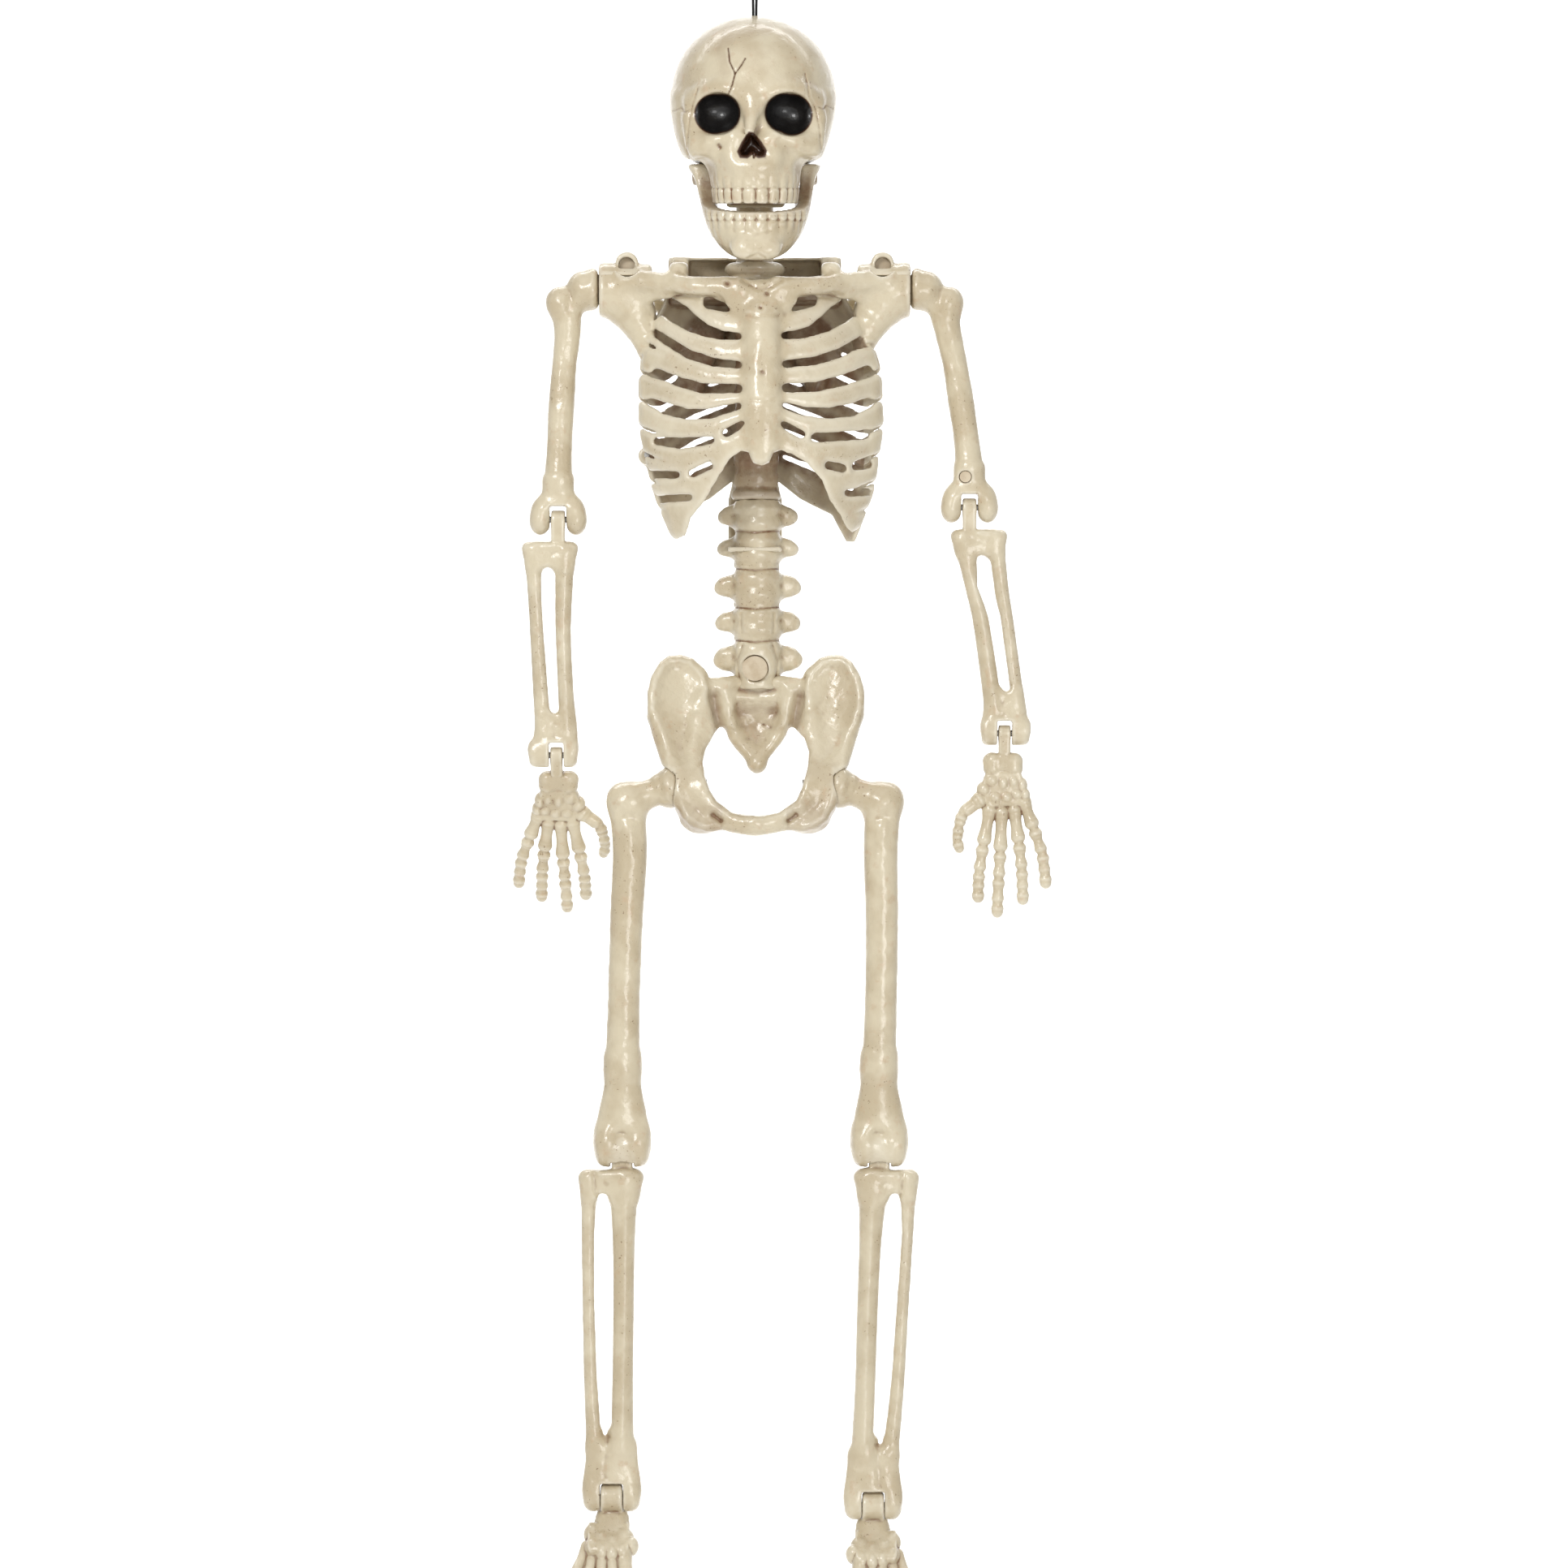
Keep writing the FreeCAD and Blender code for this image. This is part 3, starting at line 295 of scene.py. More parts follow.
class Clay:
    """A block of space that holds the distance to the shape being sculpted, negative inside."""

    def __init__(self, low, high, step=0.8):
        self.low, self.step = np.array(low, float), step
        self.axes = [np.arange(a, b, step, dtype=np.float32) for a, b in zip(low, high)]
        self.field = np.full([len(a) for a in self.axes], FAR, np.float32)

    def window(self, low, high):
        cuts = []
        for a, lo, hi in zip(self.axes, low, high):
            first = int(np.clip((lo - a[0]) / self.step, 0, len(a) - 1))
            last = int(np.clip((hi - a[0]) / self.step + 2, 1, len(a)))
            cuts.append(slice(first, last))
        x, y, z = [a[c] for a, c in zip(self.axes, cuts)]
        return tuple(cuts), x[:, None, None], y[None, :, None], z[None, None, :]

    def add(self, *shapes, blend=2.0):
        for distance, low, high in shapes:
            pad = blend + 3 * self.step
            w, x, y, z = self.window(low - pad, high + pad)
            self.field[w] = soft_min(self.field[w], distance(x, y, z), blend)
        return self

    def cut(self, *shapes, blend=0.8):
        for distance, low, high in shapes:
            pad = blend + 3 * self.step
            w, x, y, z = self.window(low - pad, high + pad)
            self.field[w] = soft_max(self.field[w], -distance(x, y, z), blend)
        return self

    def everywhere(self, change):
        """change(field, x, y, z) -> field, over the whole block."""
        x, y, z = [a.reshape([-1 if i == k else 1 for k in range(3)]) for i, a in enumerate(self.axes)]
        self.field = change(self.field, x, y, z).astype(np.float32)
        return self

    def press(self, points, depth, width, until=0.0, facing=-1):
        """Presses a groove along (x, z) points into the side that faces -y (or +y). A negative
        depth raises a ridge."""
        us, vs = [p[0] for p in points], [p[1] for p in points]
        big = 1000.0
        low = np.array([min(us) - 3 * width, -big if facing < 0 else until, min(vs) - 3 * width])
        high = np.array([max(us) + 3 * width, until if facing < 0 else big, max(vs) + 3 * width])
        w, x, y, z = self.window(low, high)
        d = path_distance(x, z, points)
        fade = np.clip((until - y) * -facing / 4.0, 0.0, 1.0)
        self.field[w] += depth * np.exp(-(d / width) ** 2) * fade
        return self

    def worked(self, amount=0.25):
        """The uneven hand-sculpted surface of the moulding."""
        def change(f, x, y, z):
            wide = np.sin(x * 0.53 + np.sin(z * 0.21) * 1.7) * np.sin(y * 0.47 + 0.6)
            wide = wide * np.sin(z * 0.39 + x * 0.11)
            small = np.sin(x * 1.31 + z * 0.35) * np.sin(y * 1.17 - z * 0.29) * np.sin(z * 1.09 + 1.1)
            return f + amount * (wide + 0.4 * small)
        return self.everywhere(change)

    def copy(self):
        other = Clay.__new__(Clay)
        other.low, other.step, other.axes, other.field = self.low, self.step, self.axes, self.field.copy()
        return other

    def surface(self):
        """(points in mm, quads, crease, hollow): crease and hollow say how deep a point lies
        in a narrow or a wide dip, from -1 on an edge to 1 in a crevice."""
        grid = vdb.FloatGrid(1000.0)
        grid.copyFromArray(self.field)
        steps, quads = grid.convertToQuads(isovalue=0.0)
        found = []
        for reach, full in ((1.6, 0.42), (5.0, 1.5)):
            n = max(int(round(reach / self.step)), 1)
            mean = blurred(np.clip(self.field, -reach, reach), n)
            found.append(np.clip(-sampled(mean, steps) / full, -1.0, 1.0))
        return steps * self.step + self.low, quads, found[0], found[1]


# ---- materials ----
def linear(r, g, b):
    """A screen colour 0-255 as the values a shader takes."""
    return tuple(((c / 255 + 0.055) / 1.055) ** 2.4 if c > 10 else c / 3294.6 for c in (r, g, b)) + (1.0,)


def new_material(name):
    mat = bpy.data.materials.new(name)
    mat.use_nodes = True
    tree = mat.node_tree
    shader = tree.nodes["Principled BSDF"]
    coords = tree.nodes.new("ShaderNodeTexCoord")
    return mat, tree, shader, coords


def noise(tree, coords, scale, detail=3.0, rough=0.55):
    node = tree.nodes.new("ShaderNodeTexNoise")
    node.inputs["Scale"].default_value = scale
    node.inputs["Detail"].default_value = detail
    node.inputs["Roughness"].default_value = rough
    tree.links.new(coords.outputs["Object"], node.inputs["Vector"])
    return node.outputs["Fac"]


def span(tree, value, low, high, to_low=0.0, to_high=1.0):
    """Maps a value between two limits, eased."""
    node = tree.nodes.new("ShaderNodeMapRange")
    node.interpolation_type = "SMOOTHSTEP"
    node.inputs["From Min"].default_value = low
    node.inputs["From Max"].default_value = high
    node.inputs["To Min"].default_value = to_low
    node.inputs["To Max"].default_value = to_high
    tree.links.new(value, node.inputs["Value"])
    return node.outputs["Result"]


def maths(tree, kind, a, b):
    node = tree.nodes.new("ShaderNodeMath")
    node.operation = kind
    for socket, value in zip(node.inputs, (a, b)):
        if isinstance(value, (int, float)):
            socket.default_value = value
        else:
            tree.links.new(value, socket)
    return node.outputs["Value"]


def mixed(tree, factor, a, b):
    node = tree.nodes.new("ShaderNodeMix")
    node.data_type = "RGBA"
    tree.links.new(factor, node.inputs["Factor"])
    for name, value in (("A", a), ("B", b)):
        socket = [s for s in node.inputs if s.name == name and s.type == "RGBA"][0]
        if isinstance(value, tuple):
            socket.default_value = value
        else:
            tree.links.new(value, socket)
    return [s for s in node.outputs if s.type == "RGBA"][0]


def attribute(tree, name):
    node = tree.nodes.new("ShaderNodeAttribute")
    node.attribute_name = name
    return node.outputs["Fac"]


def bump(tree, shader, height, strength, distance):
    node = tree.nodes.new("ShaderNodeBump")
    node.inputs["Strength"].default_value = strength
    node.inputs["Distance"].default_value = distance
    tree.links.new(height, node.inputs["Height"])
    tree.links.new(node.outputs["Normal"], shader.inputs["Normal"])


def bone_plastic():
    """Ivory plastic with a brown wash rubbed into its crevices, brown stains and painted shade on inner and
    hidden faces, and a glossy coat.
    """
    mat, tree, shader, coords = new_material("bone_plastic")
    patches = noise(tree, coords, 38.0)
    blotch = noise(tree, coords, 120.0, 4.0, 0.6)
    specks = noise(tree, coords, 620.0, 2.0, 0.5)
    base = mixed(tree, span(tree, patches, 0.38, 0.62),
                 linear(207, 195, 168), linear(191, 176, 147))
    rosy = span(tree, blotch, 0.56, 0.74, 0.0, 0.45)
    base = mixed(tree, rosy, base, linear(190, 160, 128))
    worn = span(tree, attribute(tree, "crease"), -0.15, -0.75, 0.0, 0.55)
    base = mixed(tree, worn, base, linear(222, 214, 194))
    crease = span(tree, attribute(tree, "crease"), 0.08, 0.8)
    hollow = span(tree, attribute(tree, "hollow"), 0.12, 0.9, 0.0, 0.75)
    wash = maths(tree, "MAXIMUM", crease, hollow)
    streak = span(tree, blotch, 0.3, 0.7, 0.55, 1.0)
    wash = maths(tree, "MULTIPLY", wash, streak)
    base = mixed(tree, wash, base, linear(118, 82, 50))
    fleck = maths(tree, "MULTIPLY", span(tree, specks, 0.66, 0.72),
                  span(tree, patches, 0.46, 0.6))
    base = mixed(tree, maths(tree, "MULTIPLY", fleck, 0.6), base, linear(110, 78, 46))
    # This brown is partly real stains and partly painted shade on the inner faces of the shells, under the
    # skull and behind the jaw.
    stain = maths(tree, "MULTIPLY", attribute(tree, "stain"), streak)
    base = mixed(tree, stain, base, linear(126, 96, 70))
    ink = attribute(tree, "ink")
    base = mixed(tree, span(tree, ink, 0.0, 0.5), base, linear(78, 48, 28))
    base = mixed(tree, span(tree, ink, 0.4, 1.0), base, linear(12, 9, 8))
    tree.links.new(base, shader.inputs["Base Color"])
    dull = maths(tree, "MAXIMUM", maths(tree, "MULTIPLY", wash, 0.3), stain)
    dull = maths(tree, "MAXIMUM", dull, maths(tree, "MULTIPLY", ink, 0.45))
    tree.links.new(span(tree, dull, 0.0, 1.0, 0.27, 0.6), shader.inputs["Roughness"])
    shader.inputs["IOR"].default_value = 1.5
    shader.inputs["Coat Weight"].default_value = 0.35
    shader.inputs["Coat Roughness"].default_value = 0.12
    height = maths(tree, "ADD", maths(tree, "MULTIPLY", blotch, 0.7),
                   maths(tree, "MULTIPLY", specks, 0.3))
    bump(tree, shader, height, 0.45, 0.0012)
    return mat


def plug_plastic():
    """The smooth ivory plugs that close screw and mould holes."""
    mat, tree, shader, coords = new_material("plug_plastic")
    patches = noise(tree, coords, 160.0)
    base = mixed(tree, span(tree, patches, 0.35, 0.65),
                 linear(203, 188, 162), linear(188, 170, 142))
    tree.links.new(base, shader.inputs["Base Color"])
    shader.inputs["Roughness"].default_value = 0.3
    bump(tree, shader, patches, 0.2, 0.0004)
    return mat


def steel(name, tone, rough):
    mat, tree, shader, coords = new_material(name)
    brushed = noise(tree, coords, 900.0, 2.0)
    base = mixed(tree, brushed, linear(*tone), linear(*[c - 30 for c in tone]))
    tree.links.new(base, shader.inputs["Base Color"])
    shader.inputs["Metallic"].default_value = 1.0
    tree.links.new(span(tree, brushed, 0.3, 0.7, rough, rough + 0.15), shader.inputs["Roughness"])
    return mat


def black_cord():
    """Thin black elastic cord with a fine twisted cover."""
    mat, tree, shader, coords = new_material("black_cord")
    twist = tree.nodes.new("ShaderNodeTexWave")
    twist.inputs["Scale"].default_value = 900.0
    twist.inputs["Distortion"].default_value = 2.0
    tree.links.new(coords.outputs["Object"], twist.inputs["Vector"])
    base = mixed(tree, twist.outputs["Fac"], linear(8, 8, 8), linear(18, 17, 17))
    tree.links.new(base, shader.inputs["Base Color"])
    shader.inputs["Roughness"].default_value = 0.75
    bump(tree, shader, twist.outputs["Fac"], 0.5, 0.0002)
    return mat


MATERIALS = {"bone_plastic": bone_plastic(), "plug_plastic": plug_plastic(), "black_cord": black_cord(),
             "screw_steel": steel("screw_steel", (176, 174, 170), 0.3),
             "pin_steel": steel("pin_steel", (150, 148, 145), 0.25)}


# ---- turning clay into pieces ----
def piece(name, clay, body, nodes, paint=None, place=None, flip=False):
    """Meshes the clay, rides it on its body and lets it stand for its CAD nodes. `paint` gives
    the ink, and the brown stains and painted shade of inner and hidden faces, at points in mm; `place` moves
    those points to where they belong."""
    points, quads, crease, hollow = clay.surface()
    marks = {"crease": crease, "hollow": hollow, "ink": np.zeros(len(points)), "stain": np.zeros(len(points))}
    if paint:
        marks.update(paint(points[:, 0], points[:, 1], points[:, 2]))
    if place:
        points = place(points)
    if flip:
        quads = quads[:, ::-1]
    mesh = bpy.data.meshes.new(name)
    mesh.vertices.add(len(points))
    mesh.vertices.foreach_set("co", (points * MM).astype(np.float32).ravel())
    mesh.loops.add(quads.size)
    mesh.loops.foreach_set("vertex_index", quads.astype(np.int32).ravel())
    mesh.polygons.add(len(quads))
    mesh.polygons.foreach_set("loop_start", np.arange(0, quads.size, 4, dtype=np.int32))
    mesh.polygons.foreach_set("use_smooth", np.ones(len(quads), bool))
    mesh.update(calc_edges=True)
    for key, values in marks.items():
        mesh.attributes.new(key, "FLOAT", "POINT").data.foreach_set("value", values.astype(np.float32))
    mesh.materials.append(MATERIALS["bone_plastic"])
    obj = bpy.data.objects.new(name, mesh)
    bpy.context.scene.collection.objects.link(obj)
    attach(obj, body)
    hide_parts(*nodes)
    print("piece", name, len(quads))
    return obj


def step_up(values, low, high):
    t = np.clip((values - low) / (high - low), 0.0, 1.0)
    return t * t * (3 - 2 * t)


# ---- head ----
EYES = [  # (x, z, half width, half height) of the ovals that make up each socket
    [(-22.7, -124.6, 11.7, 11.5), (-19.0, -124.2, 10.9, 11.1)],
    [(17.2, -124.0, 11.5, 11.2), (21.2, -125.0, 11.7, 11.9)],
]
NOSE = [(-3.3, -134.6), (-7.2, -140.2), (-9.9, -145.8), (-8.4, -149.3), (-4.2, -149.6), (-1.3, -147.6),
        (2.0, -149.5), (5.9, -148.9), (6.9, -145.4), (3.6, -140.0), (-0.6, -135.2)]
CRACKS = [
    [(-15.4, -114.5), (-12.8, -108.3), (-11.1, -101.8), (-14.2, -95.0), (-15.0, -87.4)],
    [(-11.1, -101.8), (-7.5, -96.9), (-5.3, -93.1)],
]
SUTURES = [
    [(-32.1, -109.8), (-34.7, -117.9), (-36.6, -125.5), (-38.0, -136.9), (-38.2, -145.5), (-37.0, -149.5)],
    [(28.4, -101.7), (29.2, -105.5), (31.1, -115.0), (34.4, -121.7), (36.8, -133.1), (37.7, -145.5)],
    [(-46.0, -123.0), (-41.5, -121.0), (-39.5, -123.6), (-37.0, -122.4)],
    [(44.0, -121.5), (40.5, -119.6), (38.6, -121.8), (36.0, -120.6)],
]


def as_seen(points):
    """The head and the front of the chest are laid out as the camera sees them. This draws what
    lies in front of y = 0 towards the camera's axis, so that it looks that way in perspective."""
    near = np.minimum(points[:, 1], 0.0) / -CAMERA_Y
    x = points[:, 0] + (points[:, 0] - CAMERA_X) * near
    z = points[:, 2] + (points[:, 2] - CAMERA_Z) * near
    return np.stack([x, points[:, 1], z], 1)


def teeth(c, edge_z, gum_z, widths, centre, radius, back, depth):
    """Marks a row of teeth into the rim of an arch: upright grooves between them, a notched
    cutting edge and a scalloped gum line."""
    bounds = [0.0]
    for width in widths:
        bounds.append(bounds[-1] + width)
    down = 1.0 if edge_z < gum_z else -1.0

    def change(f, x, y, z):
        along = np.abs(np.arctan2(x - centre[0], centre[1] - y) * radius)
        gap = None
        for b in bounds:
            d = np.abs(along - b)
            gap = d if gap is None else np.minimum(gap, d)
        front = np.clip((back - y) / 3.0, 0.0, 1.0)
        middle = 1.0 - np.exp(-(gap / 1.7) ** 2)
        gum = gum_z + down * 1.2 * middle
        crown = np.clip((gum - z) * down / 0.8 + 0.5, 0.0, 1.0)
        root = np.exp(-((gum - z) / 6.0) ** 2) * (1.0 - crown)
        f = f + front * (crown * (depth * np.exp(-(gap / 0.55) ** 2) - 0.75 * middle)
                         + root * (0.55 * np.exp(-(gap / 1.3) ** 2) - 0.35 * middle)
                         + 0.55 * np.exp(-((z - gum) / 0.65) ** 2) * (along < bounds[-1]))
        edge = (edge_z - z) * down + 1.0 * np.exp(-(gap / 0.9) ** 2) - 60.0 * (1.0 - front)
        return soft_max(f, edge, 1.2)

    return c.everywhere(change)


def skull():
    c = Clay((-54, -62, -182), (54, 70, -63), 0.65)
    c.add(egg((-0.8, 10, -116), (46.8, 52.0, 46.2)), egg((-0.5, -6, -108), (42.0, 44.5, 37.5)), blend=8)
    c.add(column([(-112, -1.0, -4, 46.2, 38), (-122, -1.2, -4, 46.2, 39), (-131, -1.3, -5, 45.0, 38),
                  (-142, -1.3, -7, 42.4, 36.5), (-150.8, -0.9, -9, 38.8, 34.5)], 2.0, 2.2), blend=5)
    c.add(egg((0, -8, -128), (36.0, 38.5, 24.0)), blend=6)
    for s in (-1, 1):
        c.add(bone_run([(s * 3, -44, -116, 4.4), (s * 13, -46, -110.5, 4.4), (s * 25, -41.5, -111, 4.2),
                        (s * 35, -31, -117.5, 3.8)]), blend=7)
        c.add(bone_run([(s * 36, -30, -128, 4.6), (s * 33, -34, -139, 6.4), (s * 29, -37, -146, 5.2)]),
              blend=6)
        c.add(bone_run([(s * 12, -45, -137, 6.0), (s * 24, -41, -141, 6.4), (s * 32, -35, -144, 5.0)]),
              blend=6)
    c.add(column([(-140, -0.6, -25, 28.6, 24), (-150, -0.6, -26, 28.0, 25.4), (-158, 0, -26.5, 26.2, 25.6),
                  (-168, 0.4, -27, 24.4, 25.2), (-177, 0.4, -27, 23.2, 24.6)], 1.0), blend=6)
    c.add(bone_run([(-1.3, -46, -118, 4.4), (-2.0, -50.5, -128, 3.6), (-3.0, -53, -134, 2.6)]), blend=5)
    c.add(bone_run([(-11.5, -46.5, -139, 2.6), (-13.5, -47.2, -147, 3.0), (-10, -48.4, -153, 2.8),
                    (-1.3, -49.6, -153.6, 2.6), (8, -48.4, -153, 2.8), (10.5, -47.2, -147, 2.8),
                    (7, -46.5, -139, 2.4)]), blend=7)
    for s in (-1, 1):
        c.cut(egg((s * 31.0, -43, -155.5), (7.5, 13, 6.5)), blend=4)
    c.cut(block(-60, 60, 22, 90, -190, -150, 6), blend=6)
    teeth(c, -175.3, -167.4, (7.6, 7.0, 6.2, 5.9, 5.6, 5.4, 5.2), (0.5, -26.5), 25.0, -6.0, 0.7)
    c.press([(-20.5, -142.0), (-19.6, -143.4)], 1.2, 1.6)
    c.press([(-17, -139), (-24, -146)], 0.6, 3.0)
    c.press([(14, -140), (24, -147), (30, -146)], 0.7, 3.0)
    for path in CRACKS:
        c.press(path, 1.0, 0.5)
    for path in SUTURES:
        c.press(path, 0.55, 0.5)
    c.press([(-3, -80), (4, -79)], 0.4, 5.0)
    c.worked(0.09)
    for ovals in EYES:
        c.cut(*[egg((x, -47, z), (rx, 17.0, rz)) for x, z, rx, rz in ovals], blend=2.4)
    c.cut(plate(NOSE, -70, -38, 2.0, 0.08), blend=1.6)
    c.cut(block(-1.1, 0.1, -60, -49, -150, -139, 0.4), blend=0.5)
    front, rear = c, c.copy()
    front.cut(block(-70, 70, SKULL_SEAM_Y - 0.15, 90, -200, -50, 0.1), blend=0.3)
    rear.cut(block(-70, 70, -90, SKULL_SEAM_Y + 0.15, -200, -50, 0.1), blend=0.3)
    for s in (-1, 1):
        rear.cut(drum(1, SKULL_SEAM_Y + 8.4, 90, (s * 30.0, -100.0), 3.2, 0.1))
    for half in (front, rear):
        half.cut(drum(2, -79.5, -50, (0, 0), 3.4, 0.1), blend=0.4)
        half.cut(drum(2, -79.5, -72.8, (0, 0), 5.2, 0.1), blend=0.4)

    def paint(x, y, z):
        ink = np.zeros(len(x))
        for ovals in EYES:
            for ex, ez, rx, rz in ovals:
                out = np.hypot((x - ex) / rx, (z - ez) / rz)
                ink = np.maximum(ink, step_up(-out, -1.05, -0.88) * (y < -8))
        nose = step_up(-outline_distance(x, z, NOSE), -0.9, 0.8) * (y < -20) * 0.66
        ink = np.maximum(ink, nose)
        for path in CRACKS:
            ink = np.maximum(ink, 0.34 * step_up(-path_distance(x, z, path), -0.65, -0.15) * (y < 0))
        scuff = path_distance(x, z, [(-17, -100), (-19, -88), (-13, -78), (8, -75.5)])
        stain = 0.22 * step_up(-scuff, -5.5, -1) * (y < 10)
        # Painted shade: the lower sides of the skull, behind the jaw rami, are browned.
        stain = np.maximum(stain, 0.45 * step_up(-z, 151.5, 158) * (np.abs(x - 0.5) > 22.5))
        ink = np.maximum(ink, 0.16 * step_up(-np.hypot(x + 20, z + 142.8), -2.4, -0.8) * (y < 0))
        return {"ink": ink, "stain": stain}

    piece("skull_front_look", front, "head", ["skull_front"], paint, as_seen)
    piece("skull_rear_look", rear, "head", ["skull_rear"], paint, as_seen)


def jaw():
    c = Clay((-42, -60, -214), (44, 20, -148), 0.6)
    outer = [(-149.0, -0.3, 0, 38.4, 24), (-154.0, -0.2, -2, 37.8, 26), (-160.0, 0.0, -5, 34.8, 28),
             (-166.0, 0.3, -9, 33.0, 29.5), (-172.0, 0.6, -14, 31.4, 30.5), (-179.0, 0.8, -20, 30.2, 30.6),
             (-187.5, 0.8, -23, 27.6, 29.2), (-195.5, 0.8, -24.5, 23.8, 28.0),
             (-202.0, 0.8, -26.5, 18.4, 25.6), (-208.3, 0.8, -29.5, 11.0, 21.0)]
    inner = [(-148, 0.4, -4, 28.2, 27), (-158.5, 0.6, -6, 25.6, 27), (-169, 0.8, -12, 24.0, 27),
             (-179, 0.8, -20, 23.0, 25), (-190, 0.8, -22, 21.8, 22.5), (-214, 0.8, -18, 12, 17)]
    c.add(column(outer, 2.5), blend=1)
    c.add(egg((-6.5, -49.0, -201.0), (6.5, 4.2, 5.5)), egg((8.0, -49.0, -201.0), (6.5, 4.2, 5.5)), blend=6)
    c.cut(column(inner, 0.5), blend=2.5)
    c.cut(block(-21, 22.6, -18, 40, -230, -140, 2), blend=2)

    def jaw_line(f, x, y, z):
        f = soft_max(f, -208.6 + np.maximum(y + 38.0, 0.0) * 0.42 - z, 5.0)
        ramus_front = -11.0 - 22.0 * np.exp(np.minimum(-(z + 177.9) / 4.0, 3.0)) - y
        f = soft_max(soft_max(f, ramus_front, 2.0), z + 152.9, 2.5)
        return soft_max(f, y - 14.0, 4.0)

    c.everywhere(jaw_line)
    for s in (-1, 1):
        c.add(drum(0, s * 29.6, s * 35.6, (8.0, -158.5), 5.6, 1.2), blend=2)
        c.press([(s * 31, -170), (s * 29, -184), (s * 25, -193)], -0.5, 2.4, -6)
    teeth(c, -177.9, -184.2, (6.3, 6.1, 6.0, 5.8, 5.6, 5.4, 5.2, 5.0), (0.8, -23.0), 27.0, -30.0, 0.4)
    c.press([(-14, -190), (0, -192.5), (15, -190)], 0.5, 2.6)
    c.press([(-4, -206), (2, -203.5), (6, -206)], 0.6, 0.7)
    c.worked(0.12)
    for s in (-1, 1):
        c.cut(side_block(s, 20, 29.2, -9, 20, -166, -140, 0.5), blend=1.0)

    def paint(x, y, z):
        # Painted shade: the inside of the jaw above the teeth, under the skull, and the jaw's rear are
        # browned.
        inner_jaw_shade = step_up(-np.abs(x - 0.8), -34.0, -29.0) * step_up(-z, 156, 163)
        inner_jaw_shade = inner_jaw_shade * step_up(z, -184, -172) * (y < 0)
        return {"stain": 0.85 * inner_jaw_shade + 0.5 * step_up(y, -10, 4) * (inner_jaw_shade < 0.1)}

    piece("jaw_look", c, "jaw", ["jaw"], paint, as_seen)


def neck():
    c = Clay((-22, -18, -244), (22, 26, -146), 0.7)
    c.add(drum(2, -209.5, -150.5, NECK, 10.6, 0.8), blend=1)
    c.add(drum(2, -215.8, -208.9, NECK, 17.2, 2.2), blend=1)
    c.add(drum(2, -219.0, -215.0, NECK, 14.0, 0.8), blend=0.8)
    c.add(drum(2, -225.2, -219.0, NECK, 11.8, 0.6), blend=0.8)
    c.add(drum(2, -238.0, -225.0, NECK, 8.2, 0.6), blend=0.5)
    c.worked(0.12)
    piece("neck_look", c, "head", ["neck"])


# ---- torso ----
# The barrel of ribs: height, centre x, centre y, half width, half depth.
BARREL = [
    (-205.0, 0.0, 4.0, 50.0, 27.0), (-218.0, 0.0, 4.0, 50.0, 30.0), (-230.0, 0.5, 4.0, 53.0, 34.0),
    (-244.0, 1.5, 4.0, 61.0, 39.0), (-262.0, 2.8, 3.5, 67.5, 42.5), (-283.0, 3.2, 3.0, 69.8, 45.0),
    (-300.0, 3.6, 2.0, 69.8, 46.0), (-319.0, 4.2, 2.0, 67.0, 45.0), (-337.0, 4.8, 2.0, 63.6, 43.0),
    (-355.0, 5.0, 2.0, 57.0, 40.0), (-370.0, 5.0, 2.0, 51.0, 37.0),
]
WALL = 2.8
FRONT_SLOTS = [  # (x, z, half width) along each gap between the front ribs
    [(-56.5, -232.0, 3.0), (-48.5, -234.4, 5.0), (-42, -238.4, 5.2), (-35.5, -243.2, 4.2), (-27, -247.6, 2.6),
     (-18.5, -249.8, 1.9), (-9.2, -250.5, 1.2)],
    [(62.5, -231.0, 3.0), (54.5, -233.2, 5.0), (47, -238.4, 5.0), (40, -243.2, 4.0), (33, -247.0, 2.4),
     (25, -249.4, 1.8), (16.5, -250, 1.3)],
    [(-26.0, -231.8, 2.4), (-13.0, -234.6, 2.2)],
    [(17.5, -235.0, 2.2), (32.0, -230.6, 2.4)],
    [(-61.0, -245.5, 1.2), (-49.3, -253.2, 1.7), (-37.4, -260.6, 1.9), (-23.2, -265.2, 1.7),
     (-9.0, -266.6, 1.3)],
    [(67.0, -246.3, 1.2), (59, -253.8, 1.7), (48, -259.9, 1.9), (34, -264.4, 1.7), (17, -266.2, 1.3)],
    [(-55.5, -270.8, 1.5), (-43.5, -276, 2.0), (-30, -279.9, 2.1), (-9, -280.1, 1.8)],
    [(63.5, -269.8, 2.2), (51.5, -275, 2.4), (35, -279.1, 2.0), (17, -279.8, 1.8)],
    [(-58.0, -287.6, 1.3), (-50.5, -291.3, 2.6), (-38.8, -294.6, 2.3), (-26, -294.4, 2.1), (-9, -290, 1.3)],
    [(63.5, -288.2, 2.2), (55, -292.2, 2.9), (42, -294, 2.3), (28, -292.9, 1.8), (16.5, -289.6, 1.3)],
    [(-55.0, -309.8, 1.4), (-42, -311, 2.5), (-25, -309.4, 1.5)],
    [(34.5, -307.9, 1.9), (62, -306.2, 1.9)],
    [(-16.0, -305.2, 1.6), (-6, -299.5, 1.5)],
    [(15.3, -300.0, 1.5), (26.3, -306, 1.6)],
    [(-58.5, -328.6, 1.4), (-44.5, -329, 1.4)],
    [(57.5, -324.0, 1.7), (64, -322.9, 1.7)],
    [(-35.0, -328.0, 1.6), (-26, -323.8, 1.6)],
    [(42.0, -323.5, 1.7), (49.5, -325.2, 1.7)],
    [(-54.5, -342.8, 1.3), (-37.5, -341.7, 1.3)],
    [(52.8, -339.2, 1.4), (63.5, -338.7, 1.4)],
]
